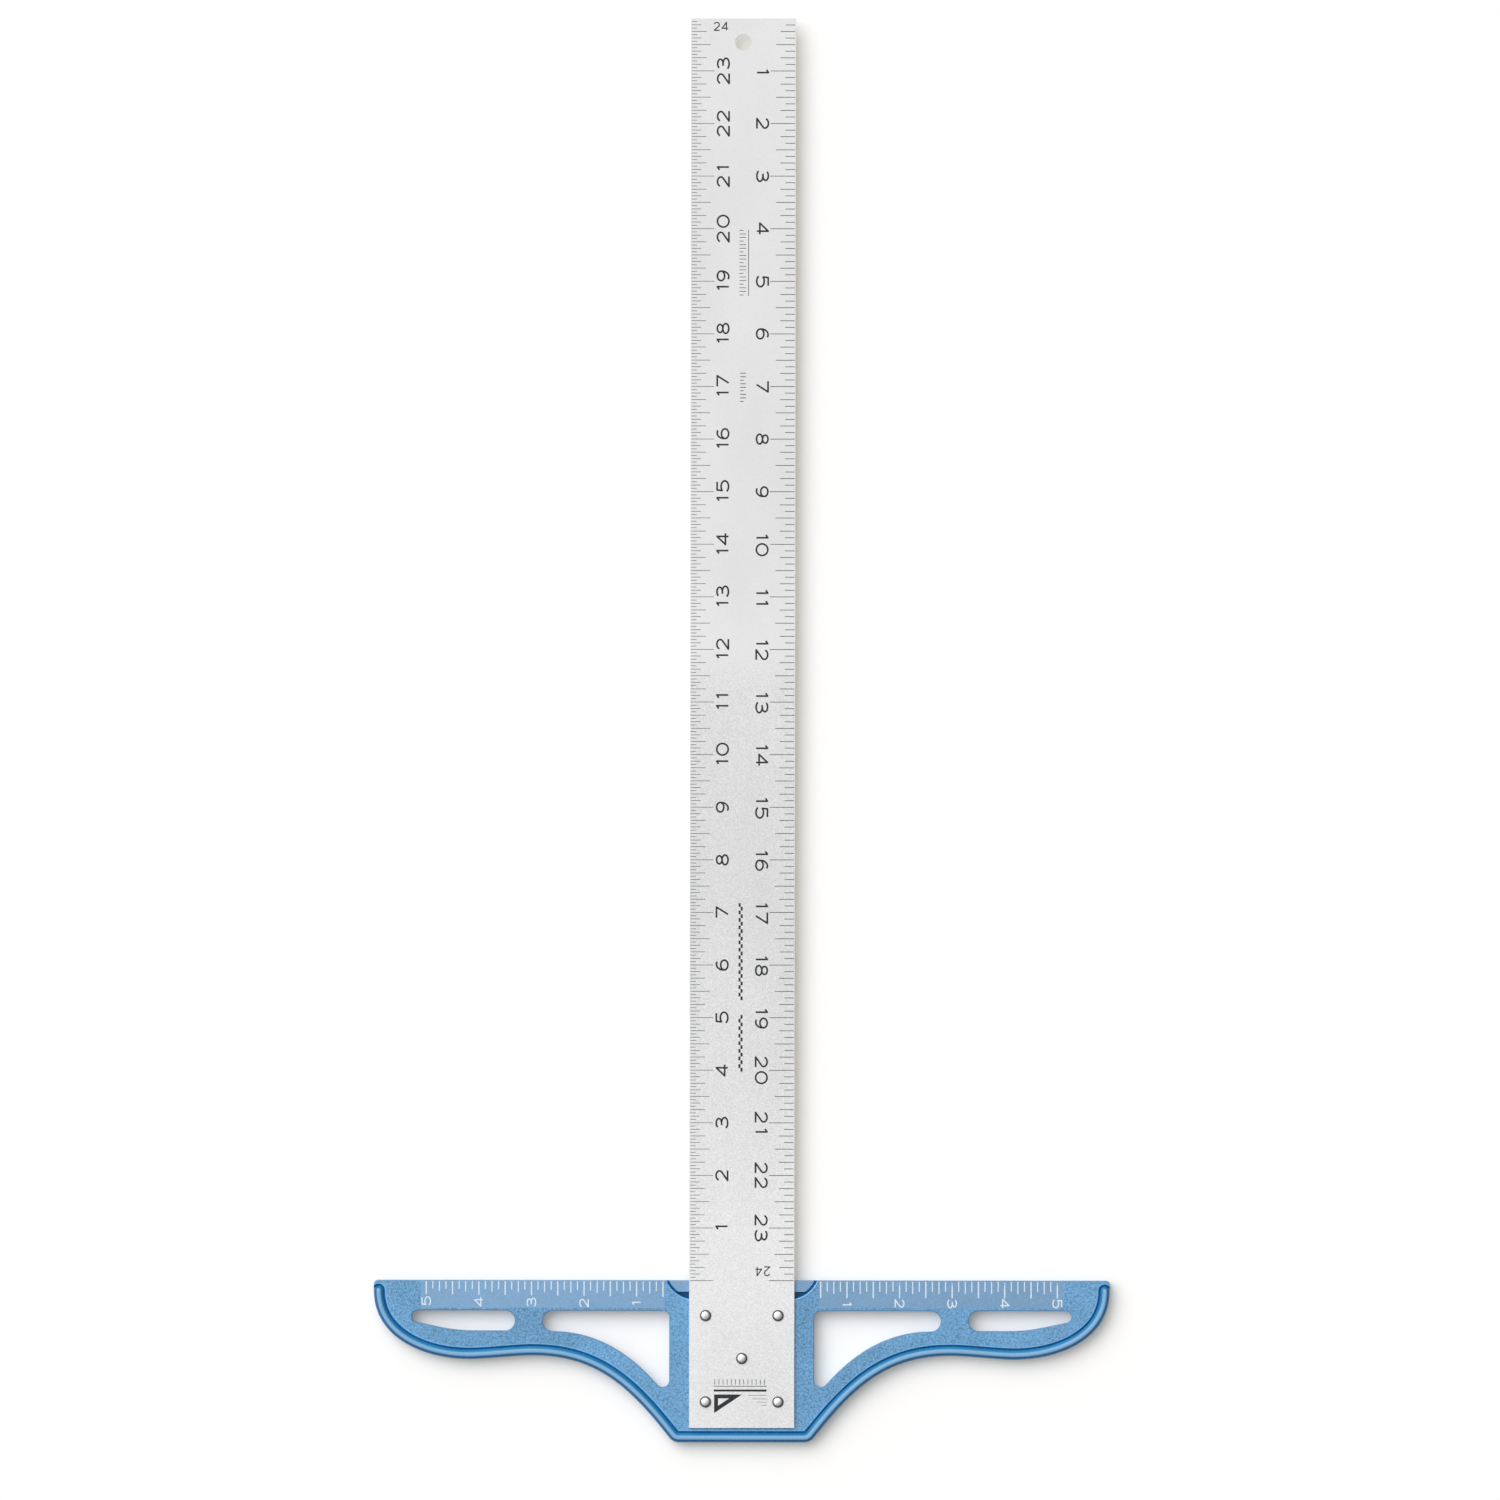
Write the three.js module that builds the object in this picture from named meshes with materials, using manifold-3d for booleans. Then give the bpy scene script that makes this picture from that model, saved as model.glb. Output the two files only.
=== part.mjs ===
// T-square: a flat aluminium blade with inch graduations, riveted across a moulded plastic head.
//
// All sizes are in millimetres. X runs along the head's working edge, Y along the blade
// towards its tip, Z up. The origin is the foot of the working edge, on the blade's
// centreline and on the surface that the head lies on.

import * as THREE from 'three';
import { mergeVertices } from 'three/addons/utils/BufferGeometryUtils.js';
import Module from 'manifold-3d';

const wasm = await Module();
wasm.setup();

// ---- Driving dimensions ----

const inch = 25.4;

// Blade: a strip of sheet, 24 in beyond the working edge and a tail across the head.
const bladeWidth = 2 * inch;
const bladeReach = 24 * inch;
const bladeTail = 71.2;
const bladeThickness = 1.27;
const hangHoleDiameter = 7.9;
const hangHoleFromTip = 11.7;

// Head: a shell, open underneath, symmetric about the blade.
const headWidth = 14 * inch;
const headDepth = 78.3;
const headHeight = 8;
const skirtThickness = 2.4;
const roofThickness = 3;
const topCornerRadius = 2;
const foundationHeight = 6.4;

// The head's lower edge: full width at the ends, a lobe, a shallow waist, then a flare
// down to the straight bottom. Stations are distances from the centreline and depths
// below the working edge; pulls are the lengths of the curves' handles.
const endCurveStart = 4.9;
const lobe = { across: 131.6, down: 38.2 };
const waist = { across: 101, down: 36.4 };
const flareFoot = { across: 37.1, down: 73.3 };
const flareAngle = THREE.MathUtils.degToRad(51.3);
const bottomCornerRadius = 6;
const endPullDown = 23;
const endPullAcross = 22.4;
const waistPull = 8;
const flarePull = 29.5;

// Bead: a half-round rim along the lower edge, in a channel that frees its inner side.
const beadRadius = 2.3;
const beadInset = 2.4;
const channelHalfWidth = 3;

// Inner windows: long triangles beside the blade, open right through.
const windowTop = 14.7;
const windowInnerSide = 35;
const windowOuterEnd = 96.2;
const windowEndRadius = 5;
const windowCornerRadius = 3;
const windowToe = { across: 42.5, down: 48.5 };
const windowToeAngle = THREE.MathUtils.degToRad(48);
const windowToeRadius = 3.25;
const windowToeRise = 0.15;
const windowPull = 19.4;

// Outer windows: slots that narrow to a nose at the head's ends.
const slotTop = 14.6;
const slotBottom = 24.4;
const slotInnerEnd = 109.6;
const slotBend = 138;
const slotNose = 159.3;
const slotNoseRadius = 2.9;
const slotTaper = THREE.MathUtils.degToRad(12.5);
const windowWall = 2;

// Pocket: a recess at the root of the blade. A ledge stands in it along the working edge,
// with a groove round the ledge's ends and a deeper trough behind it that collects dirt.
const pocketHalfStraight = 22.6;
const pocketFloorRadius = 14.5;
const pocketFlare = 0.6;
const pocketArcRise = 5.9;
const ledgeWidth = 5.5;
const ledgeHeight = 7.7;
const grooveWidth = 0.6;
const troughFloor = 4.4;
const troughFoot = 3;
const troughWall = 1.6;

// Rivets: semi-tubular, domed on the blade, rolled over a washer under the head.
const rivetColumn = 17.5;
const rivetRowNear = 16.9;
const rivetRowMiddle = 37.6;
const rivetRowFar = 58.6;
const rivetHeadDiameter = 5.5;
const rivetHeadHeight = 1.2;
const rivetShankDiameter = 3.2;
const rivetHoleDiameter = 3.8;
const rivetBoreDiameter = 1.6;
const rivetBoreDepth = 2.6;
const rollDiameter = 5.2;
const rollHeight = 1.1;
const washerDiameter = 7;
const washerHoleDiameter = 3.8;
const washerThickness = 0.6;
const bossDiameter = 9.6;
const bossFoot = 3;

// Stiffening ribs in the band between the working edge and the windows.
const ribThickness = 1.6;
const ribFoot = 1;
const ribSpacing = 24;
const ribsPerSide = 6;
const firstRib = 44;

// ---- Values that follow ----

const halfHead = headWidth / 2;
const roofUnderside = headHeight - roofThickness;
const bladeTop = headHeight + bladeThickness;
const cutMargin = 1;
const curveStep = 5;
const arcStep = Math.PI / 8;
const roundSegments = 16;
const beadSides = 10;
const beadSteps = 110;
const weldDistance = 1e-4;

const rivetPlaces = [
  { name: 'near_left', x: -rivetColumn, y: -rivetRowNear },
  { name: 'near_right', x: rivetColumn, y: -rivetRowNear },
  { name: 'middle', x: 0, y: -rivetRowMiddle },
  { name: 'far_left', x: -rivetColumn, y: -rivetRowFar },
  { name: 'far_right', x: rivetColumn, y: -rivetRowFar },
];

// ---- Materials ----

const aluminium = new THREE.MeshStandardMaterial({ color: 0xe2e2e2, roughness: 0.45, metalness: 0.8 });
const bluePlastic = new THREE.MeshStandardMaterial({ color: 0x6a9dc6, roughness: 0.5, metalness: 0 });
const rivetMetal = new THREE.MeshStandardMaterial({ color: 0xc9cbcc, roughness: 0.3, metalness: 0.9 });
const washerMetal = new THREE.MeshStandardMaterial({ color: 0xb4b6b8, roughness: 0.4, metalness: 0.9 });

// ---- Solids ----

function solidFrom(geometry) {
  const bare = geometry.clone();
  bare.deleteAttribute('normal');
  bare.deleteAttribute('uv');
  const welded = mergeVertices(bare, weldDistance);
  const mesh = new wasm.Mesh({
    numProp: 3,
    vertProperties: new Float32Array(welded.attributes.position.array),
    triVerts: new Uint32Array(welded.index.array),
  });
  return new wasm.Manifold(mesh);
}

function geometryFrom(solid) {
  const mesh = solid.getMesh();
  const geometry = new THREE.BufferGeometry();
  geometry.setAttribute('position', new THREE.BufferAttribute(mesh.vertProperties, 3));
  geometry.setIndex(new THREE.BufferAttribute(mesh.triVerts, 1));
  geometry.computeVertexNormals();
  return geometry;
}

// A flat shape made into a slab between two heights.
function slab(shape, low, high) {
  const options = { depth: high - low, bevelEnabled: false, curveSegments: roundSegments / 2 };
  const geometry = new THREE.ExtrudeGeometry(shape, options);
  geometry.translate(0, 0, low);
  return geometry;
}

function slabSolid(shape, low, high) {
  return solidFrom(slab(shape, low, high));
}

function boxSolid(low, high) {
  const size = new THREE.Vector3().subVectors(high, low);
  const middle = new THREE.Vector3().addVectors(low, high).multiplyScalar(0.5);
  const geometry = new THREE.BoxGeometry(size.x, size.y, size.z);
  geometry.translate(middle.x, middle.y, middle.z);
  return solidFrom(geometry);
}

function discSolid(place, diameter, low, high) {
  const geometry = new THREE.CylinderGeometry(diameter / 2, diameter / 2, high - low, roundSegments);
  geometry.rotateX(Math.PI / 2);
  geometry.translate(place.x, place.y, (low + high) / 2);
  return solidFrom(geometry);
}

function circleHole(x, y, diameter) {
  const hole = new THREE.Path();
  hole.absarc(x, y, diameter / 2, 0, 2 * Math.PI);
  return hole;
}

// ---- Outlines ----

// How many chords stand for one curve: by angle round an arc, by length along the others.
function chordCount(curve) {
  if (curve.isLineCurve) return 1;
  if (curve.isEllipseCurve) return Math.ceil(Math.abs(curve.aEndAngle - curve.aStartAngle) / arcStep);
  return Math.max(2, Math.round(curve.getLength() / curveStep));
}

function pointsAlong(path) {
  const points = [];
  for (const curve of path.curves) {
    for (const point of curve.getPoints(chordCount(curve))) {
      const last = points.at(-1);
      if (!last || last.distanceTo(point) > weldDistance) points.push(point);
    }
  }
  return points;
}

function mirrored(points) {
  return points.map((point) => new THREE.Vector2(-point.x, point.y)).reverse();
}

// A run of points moved to the right of its direction of travel, with mitred joints.
function offsetRun(points, distance, closed = false) {
  const count = points.length;
  return points.map((point, index) => {
    const before = closed ? points[(index + count - 1) % count] : points[Math.max(index - 1, 0)];
    const after = closed ? points[(index + 1) % count] : points[Math.min(index + 1, count - 1)];
    const arriving = new THREE.Vector2().subVectors(point, before).normalize();
    const leaving = new THREE.Vector2().subVectors(after, point).normalize();
    const along = new THREE.Vector2().addVectors(arriving, leaving).normalize();
    const segment = leaving.lengthSq() > 0 ? leaving : arriving;
    const mitre = distance / along.dot(segment);
    return new THREE.Vector2(point.x + along.y * mitre, point.y - along.x * mitre);
  });
}

// The head's lower edge, from its right end round the bottom to its left end.
function lowerEdge() {
  const flareDirection = new THREE.Vector2(Math.cos(flareAngle), Math.sin(flareAngle));
  const towardsFlare = flareDirection.multiplyScalar(flarePull);
  const footDrop = headDepth - flareFoot.down;
  const cornerAcross = flareFoot.across - footDrop / Math.tan(flareAngle);
  const arcCentreX = cornerAcross - bottomCornerRadius * Math.tan(flareAngle / 2);
  const arcCentreY = bottomCornerRadius - headDepth;

  const half = new THREE.Path();
  half.moveTo(halfHead, -endCurveStart);
  half.bezierCurveTo(
    halfHead, -endCurveStart - endPullDown,
    lobe.across + endPullAcross, -lobe.down,
    lobe.across, -lobe.down,
  );
  half.bezierCurveTo(
    lobe.across - waistPull, -lobe.down,
    waist.across + waistPull, -waist.down,
    waist.across, -waist.down,
  );
  half.bezierCurveTo(
    waist.across - flarePull, -waist.down,
    flareFoot.across + towardsFlare.x, -flareFoot.down + towardsFlare.y,
    flareFoot.across, -flareFoot.down,
  );
  half.absarc(arcCentreX, arcCentreY, bottomCornerRadius, flareAngle - Math.PI / 2, -Math.PI / 2, true);
  const right = pointsAlong(half);
  return [...right, ...mirrored(right)];
}

// The whole head seen from above, with small corners at both ends of the working edge.
function headShape(edge) {
  const corner = new THREE.Path();
  corner.absarc(halfHead - topCornerRadius, -topCornerRadius, topCornerRadius, Math.PI / 2, 0, true);
  const rightCorner = pointsAlong(corner);
  return new THREE.Shape([...rightCorner, ...edge, ...mirrored(rightCorner)]);
}

function innerWindow() {
  const towardsToe = new THREE.Vector2(Math.cos(windowToeAngle), Math.sin(windowToeAngle));
  const bottom = -windowTop - 2 * windowEndRadius;
  const endCentreX = windowOuterEnd - windowEndRadius;
  const toeCentreX = windowInnerSide + windowToeRadius;
  const toeCentreY = -windowToe.down + windowToeRise;

  const path = new THREE.Path();
  path.moveTo(endCentreX, -windowTop);
  path.absarc(endCentreX, -windowTop - windowEndRadius, windowEndRadius, Math.PI / 2, -Math.PI / 2, true);
  path.bezierCurveTo(
    endCentreX - windowPull, bottom,
    windowToe.across + towardsToe.x * windowPull, -windowToe.down + towardsToe.y * windowPull,
    windowToe.across, -windowToe.down,
  );
  path.absarc(toeCentreX, toeCentreY, windowToeRadius, windowToeAngle - Math.PI / 2, -Math.PI, true);
  path.absarc(
    windowInnerSide + windowCornerRadius, -windowTop - windowCornerRadius,
    windowCornerRadius, Math.PI, Math.PI / 2, true,
  );
  return pointsAlong(path);
}

function outerWindow() {
  const innerRadius = (slotBottom - slotTop) / 2;
  const innerCentreX = slotInnerEnd + innerRadius;
  const innerCentreY = -slotTop - innerRadius;
  const noseCentreX = slotNose - slotNoseRadius;
  const noseCentreY = -slotTop - slotNoseRadius;

  const path = new THREE.Path();
  path.moveTo(noseCentreX, -slotTop);
  path.absarc(noseCentreX, noseCentreY, slotNoseRadius, Math.PI / 2, slotTaper - Math.PI / 2, true);
  path.lineTo(slotBend, -slotBottom);
  path.lineTo(innerCentreX, -slotBottom);
  path.absarc(innerCentreX, innerCentreY, innerRadius, -Math.PI / 2, -3 * Math.PI / 2, true);
  return pointsAlong(path);
}

// ---- Head ----

function bead(edge) {
  const centreline = offsetRun(edge, beadInset);
  const route = centreline.map((point) => new THREE.Vector3(point.x, point.y, foundationHeight));
  const section = new THREE.Shape();
  section.absarc(0, 0, beadRadius, 0, 2 * Math.PI);
  const rod = new THREE.ExtrudeGeometry(section, {
    steps: beadSteps,
    curveSegments: beadSides,
    extrudePath: new THREE.CatmullRomCurve3(route, false, 'catmullrom', 0),
  });
  let solid = solidFrom(rod);
  for (const end of [route[0], route.at(-1)]) {
    const ball = new THREE.SphereGeometry(beadRadius, beadSides, beadSides / 2);
    ball.translate(end.x, end.y, end.z);
    solid = solid.add(solidFrom(ball));
  }
  return solid;
}

// The channel's plan: a band over the lower edge with round ends.
function channelShape(edge) {
  const inner = offsetRun(edge, beadInset + channelHalfWidth);
  const outer = offsetRun(edge, beadInset - channelHalfWidth);
  const cap = new THREE.Path();
  cap.absarc(halfHead - beadInset, -endCurveStart, channelHalfWidth, Math.PI, 0, true);
  const rightCap = pointsAlong(cap);
  return new THREE.Shape([...rightCap, ...outer, ...mirrored(rightCap), ...inner.reverse()]);
}

// The pocket's plan at its floor, or that plan drawn in by a margin on its three lower sides.
function pocketPlan(margin) {
  const radius = pocketFloorRadius - margin;
  const halfWidth = pocketHalfStraight + radius;
  const beyondEdge = 2 * pocketFloorRadius;
  const shape = new THREE.Shape();
  shape.moveTo(halfWidth, beyondEdge);
  shape.lineTo(-halfWidth, beyondEdge);
  shape.absarc(-pocketHalfStraight, pocketArcRise, radius, Math.PI, 1.5 * Math.PI);
  shape.absarc(pocketHalfStraight, pocketArcRise, radius, 1.5 * Math.PI, 2 * Math.PI);
  return shape;
}

// The recess with the ledge left standing in it. Its wall leans outwards up to the head's top.
function pocketCut() {
  const geometry = new THREE.ExtrudeGeometry(pocketPlan(0), {
    depth: cutMargin,
    bevelThickness: headHeight - foundationHeight,
    bevelSize: pocketFlare,
    bevelSegments: 1,
    curveSegments: roundSegments / 2,
  });
  geometry.translate(0, 0, headHeight);
  const atEdge = boxSolid(
    new THREE.Vector3(-halfHead, -ledgeWidth, 0),
    new THREE.Vector3(halfHead, headDepth, headHeight),
  );
  const ledge = slabSolid(pocketPlan(grooveWidth), roofUnderside, ledgeHeight).intersect(atEdge);
  return solidFrom(geometry).subtract(ledge);
}

function troughCut() {
  const behindLedge = boxSolid(
    new THREE.Vector3(-halfHead, -headDepth, 0),
    new THREE.Vector3(halfHead, -ledgeWidth, headHeight),
  );
  const trough = slabSolid(pocketPlan(0), troughFloor, foundationHeight + cutMargin / 2);
  return trough.intersect(behindLedge);
}

// The solid that closes the trough off from the hollow below.
function troughBody() {
  const reach = pocketHalfStraight + pocketFloorRadius;
  const back = pocketArcRise - pocketFloorRadius - troughWall;
  return boxSolid(
    new THREE.Vector3(-reach, back, troughFoot),
    new THREE.Vector3(reach, troughWall - ledgeWidth, headHeight),
  );
}

// The hollow under the roof, less the window walls, the trough, the rivet bosses and the ribs.
function hollowCut(edge, windows) {
  const inside = offsetRun(edge, skirtThickness);
  const topRight = new THREE.Vector2(halfHead - skirtThickness, -skirtThickness);
  const topLeft = new THREE.Vector2(-topRight.x, topRight.y);
  let hollow = slabSolid(new THREE.Shape([topRight, ...inside, topLeft]), -cutMargin, roofUnderside);
  for (const window of windows) {
    const wall = new THREE.Shape(offsetRun(window, -windowWall, true));
    hollow = hollow.subtract(slabSolid(wall, -2 * cutMargin, headHeight));
  }
  hollow = hollow.subtract(troughBody());
  for (const place of rivetPlaces) {
    hollow = hollow.subtract(discSolid(place, bossDiameter, bossFoot, headHeight));
  }
  for (let rib = 0; rib < ribsPerSide; rib += 1) {
    for (const side of [-1, 1]) {
      const x = side * (firstRib + rib * ribSpacing);
      const low = new THREE.Vector3(x - ribThickness / 2, -windowTop, ribFoot);
      const high = new THREE.Vector3(x + ribThickness / 2, 0, headHeight);
      hollow = hollow.subtract(boxSolid(low, high));
    }
  }
  return hollow;
}

function head() {
  const edge = lowerEdge();
  const outline = headShape(edge);
  const rightWindows = [innerWindow(), outerWindow()];
  const windows = [...rightWindows, ...rightWindows.map(mirrored)];

  const raised = slabSolid(outline, 0, headHeight);
  const channel = slabSolid(channelShape(edge), foundationHeight, headHeight + cutMargin);
  let solid = raised.subtract(channel).add(bead(edge));
  solid = solid.subtract(pocketCut()).subtract(troughCut()).subtract(hollowCut(edge, windows));
  for (const window of windows) {
    solid = solid.subtract(slabSolid(new THREE.Shape(window), -cutMargin, headHeight + cutMargin));
  }
  for (const place of rivetPlaces) {
    solid = solid.subtract(discSolid(place, rivetHoleDiameter, -cutMargin, headHeight + cutMargin));
  }
  return geometryFrom(solid);
}

// ---- Blade ----

function blade() {
  const half = bladeWidth / 2;
  const shape = new THREE.Shape();
  shape.moveTo(-half, -bladeTail);
  shape.lineTo(half, -bladeTail);
  shape.lineTo(half, bladeReach);
  shape.lineTo(-half, bladeReach);
  shape.holes.push(circleHole(0, bladeReach - hangHoleFromTip, hangHoleDiameter));
  for (const place of rivetPlaces) {
    shape.holes.push(circleHole(place.x, place.y, rivetHoleDiameter));
  }
  return slab(shape, headHeight, bladeTop);
}

// ---- Fasteners ----

// One rivet, standing on its own axis, from the rolled end to the domed head.
function rivet() {
  const rollTop = bossFoot - washerThickness;
  const rollFoot = rollTop - rollHeight;
  const bore = rivetBoreDiameter / 2;
  const shank = rivetShankDiameter / 2;
  const roll = rollDiameter / 2;
  const rim = rivetHeadDiameter / 2;
  const profile = new THREE.Path();
  profile.moveTo(0, rollFoot + rivetBoreDepth);
  profile.lineTo(bore, rollFoot + rivetBoreDepth);
  profile.lineTo(bore, rollFoot);
  profile.absellipse(bore, rollTop, roll - bore, rollHeight, -Math.PI / 2, 0);
  profile.lineTo(shank, rollTop);
  profile.lineTo(shank, bladeTop);
  profile.lineTo(rim, bladeTop);
  profile.absellipse(0, bladeTop, rim, rivetHeadHeight, 0, Math.PI / 2);
  const geometry = new THREE.LatheGeometry(pointsAlong(profile), roundSegments);
  geometry.rotateX(Math.PI / 2);
  return geometryFrom(solidFrom(geometry));
}

function washer() {
  const ring = new THREE.Shape();
  ring.absarc(0, 0, washerDiameter / 2, 0, 2 * Math.PI);
  ring.holes.push(circleHole(0, 0, washerHoleDiameter));
  return slab(ring, bossFoot - washerThickness, bossFoot);
}

// ---- Assembly ----

function piece(name, geometry, material, place = { x: 0, y: 0 }) {
  const mesh = new THREE.Mesh(geometry, material);
  mesh.name = name;
  mesh.position.set(place.x, place.y, 0);
  return mesh;
}

const tSquare = new THREE.Group();
tSquare.add(piece('head', head(), bluePlastic));
tSquare.add(piece('blade', blade(), aluminium));
for (const place of rivetPlaces) {
  tSquare.add(piece(`rivet_${place.name}`, rivet(), rivetMetal, place));
  tSquare.add(piece(`washer_${place.name}`, washer(), washerMetal, place));
}

export default tSquare;
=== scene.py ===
"""T-square: a satin aluminium blade with printed inch scales, riveted across a blue moulded head.

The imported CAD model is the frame. This script builds the fine surfaces that stand for it.
Lengths are in millimetres and turn into metres where a mesh is made.
"""
from functools import cache
from math import asin, atan2, ceil, cos, dist, hypot, inf, pi, radians, sin, tan

import bmesh
import bpy
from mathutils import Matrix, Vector
from mathutils.geometry import delaunay_2d_cdt


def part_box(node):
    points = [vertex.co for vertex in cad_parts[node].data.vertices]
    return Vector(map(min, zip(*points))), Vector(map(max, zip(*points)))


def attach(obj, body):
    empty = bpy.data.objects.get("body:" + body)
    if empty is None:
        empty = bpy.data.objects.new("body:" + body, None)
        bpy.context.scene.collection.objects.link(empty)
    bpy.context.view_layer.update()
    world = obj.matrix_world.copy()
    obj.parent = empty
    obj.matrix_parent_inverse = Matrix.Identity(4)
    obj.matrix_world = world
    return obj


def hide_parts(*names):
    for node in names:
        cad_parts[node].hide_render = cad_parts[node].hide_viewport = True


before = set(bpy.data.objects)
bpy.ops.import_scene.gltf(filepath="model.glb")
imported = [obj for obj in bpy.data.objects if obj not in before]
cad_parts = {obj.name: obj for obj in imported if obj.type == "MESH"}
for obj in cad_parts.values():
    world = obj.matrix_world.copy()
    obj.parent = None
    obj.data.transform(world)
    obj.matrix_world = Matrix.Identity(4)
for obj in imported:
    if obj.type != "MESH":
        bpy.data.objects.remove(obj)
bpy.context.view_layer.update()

MM = 0.001
INCH = 25.4

# ---- Levels and edges read from the frame ----


def node_box(name):
    return [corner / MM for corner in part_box(name)]


HEAD_LOW, HEAD_HIGH = node_box("head")
BLADE_LOW, BLADE_HIGH = node_box("blade")
RIVETS = ("near_left", "near_right", "middle", "far_left", "far_right")

HALF_HEAD = HEAD_HIGH.x
HEAD_DEPTH = -HEAD_LOW.y
HEAD_TOP = BLADE_LOW.z
BLADE_TOP = BLADE_HIGH.z
HALF_BLADE = BLADE_HIGH.x
BLADE_TIP = BLADE_HIGH.y
BLADE_TAIL = BLADE_LOW.y

# ---- The head's shape: the same stations as in the CAD model ----

TOP_CORNER_RADIUS = 2.0
END_CURVE_START = 4.9
LOBE = (131.6, -38.2)
WAIST = (101.0, -36.4)
FLARE_FOOT = (37.1, -73.3)
FLARE_ANGLE = radians(51.3)
BOTTOM_CORNER_RADIUS = 6.0
END_PULL_DOWN = 23.0
END_PULL_ACROSS = 22.4
WAIST_PULL = 8.0
FLARE_PULL = 29.5

HEAD_FOOT_ROUND = 0.25
HEAD_TOP_ROUND = 0.45

BEAD_RADIUS = 2.4
BEAD_INSET = 2.4
BEAD_FOOT_DEPTH = 0.8
BEAD_ARC_STEP = radians(9)
CHANNEL_HALF_WIDTH = 3.0
CHANNEL_FLOOR = 6.4

WINDOW_TOP = 14.7
WINDOW_INNER_SIDE = 35.0
WINDOW_OUTER_END = 96.2
WINDOW_END_RADIUS = 5.0
WINDOW_CORNER_RADIUS = 3.0
WINDOW_TOE = (42.5, -48.5)
WINDOW_TOE_ANGLE = radians(48)
WINDOW_TOE_RADIUS = 3.25
WINDOW_TOE_RISE = 0.15
WINDOW_PULL = 19.4

SLOT_TOP = 14.6
SLOT_BOTTOM = 24.4
SLOT_INNER_END = 109.6
SLOT_BEND = 138.0
SLOT_NOSE = 159.3
SLOT_NOSE_RADIUS = 2.9
SLOT_TAPER = radians(12.5)
SLOT_BEND_RADIUS = 80.0
SLOT_BEND_STEP = radians(15) / 8

POCKET_HALF_STRAIGHT = 22.6
POCKET_FLOOR_RADIUS = 14.5
POCKET_ARC_RISE = 5.9
POCKET_FLARE = 0.6
LEDGE_WIDTH = 5.5
LEDGE_TOP = 7.7
LEDGE_LIP = 0.35
GROOVE_WIDTH = 0.6
TROUGH_FLOOR = 4.4
TROUGH_ROUND = 0.3
TROUGH_FOOT = 3.0
TROUGH_WALL = 1.6
POCKET_REACH = POCKET_HALF_STRAIGHT + POCKET_FLOOR_RADIUS

SKIRT = 2.4
ROOF_UNDERSIDE = 5.0
ROOF_CORNER = 0.5
WINDOW_WALL = 2.0
BOSS_RADIUS = 4.8
BOSS_FOOT = 3.0
BOSS_EDGE = 0.3
RIB_THICKNESS = 1.6
RIB_FOOT = 1.0
RIB_SPACING = 24.0
FIRST_RIB = 44.0
RIBS_PER_SIDE = 6

# The smooth bands under the head's scales are sunk a hair below the grained top.
BAND = (37.1, 155.2)
BAND_DEPTH = 13.3
BAND_SINK = 0.07

# ---- Blade, rivets and washers ----

HANG_HOLE_RADIUS = 3.95
HANG_HOLE_FROM_TIP = 11.7
SHEET_EDGE = 0.12

RIVET_HOLE_RADIUS = 1.9
RIVET_SHANK_RADIUS = 1.6
RIVET_BORE_RADIUS = 0.8
RIVET_BORE_DEPTH = 2.6
RIVET_ROLL_MIDDLE = 1.7
RIVET_ROLL_HALF_WIDTH = 0.9
RIVET_RIM_HEIGHT = 0.15
RIVET_RING = 0.85
WASHER_THICKNESS = 0.6
WASHER_EDGE = 0.12

# ---- Ink ----

INK_HEIGHT = 0.02
INK_SINK = 0.01

# ---- Steps of curves, and how far a cutter runs past what it cuts ----

CURVE_STEP = 1.0
ARC_STEP = radians(7.5)
SMALL_ARC_STEP = radians(15)
LATHE_SIDES = 48
SHARP_ANGLE = radians(32)
SAME_POINT = 1e-4
CLEAR = 1.0


# ---- Plane geometry: points are (x, y) pairs in millimetres ----


def arc(centre, radii, start, end, step=ARC_STEP):
    """Points round part of an ellipse, both ends included; angles in radians."""
    count = max(2, ceil(abs(end - start) / step))
    rx, ry = radii if isinstance(radii, tuple) else (radii, radii)
    turns = [start + (end - start) * i / count for i in range(count + 1)]
    return [(centre[0] + rx * cos(a), centre[1] + ry * sin(a)) for a in turns]


def circle(centre, radius, step=ARC_STEP):
    return arc(centre, radius, 0.0, 2 * pi, step)[:-1]


def cubic(*corners):
    """Points along the cubic curve of four corners, about CURVE_STEP apart."""
    reach = sum(dist(start, end) for start, end in zip(corners, corners[1:]))
    count = max(4, round(reach / CURVE_STEP))
    points = []
    for i in range(count + 1):
        t = i / count
        s = 1 - t
        weights = (s ** 3, 3 * s * s * t, 3 * s * t * t, t ** 3)
        points.append(tuple(sum(w * p[k] for w, p in zip(weights, corners)) for k in (0, 1)))
    return points


def pulled(point, distance, angle):
    return (point[0] + distance * cos(angle), point[1] + distance * sin(angle))


def turned(point, place, turn):
    """A point turned about the origin and moved to a place."""
    c, s = cos(turn), sin(turn)
    return (place[0] + c * point[0] - s * point[1], place[1] + s * point[0] + c * point[1])


def rectangle(low, high):
    return [(low[0], low[1]), (high[0], low[1]), (high[0], high[1]), (low[0], high[1])]


def joined(*runs):
    """One run of points out of several, without the doubled ends."""
    points = []
    for run in runs:
        for point in run:
            if not points or dist(points[-1], point) > SAME_POINT:
                points.append(point)
    if dist(points[0], points[-1]) < SAME_POINT:
        points.pop()
    return points


def mirrored(points):
    return [(-x, y) for x, y in reversed(points)]


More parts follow.
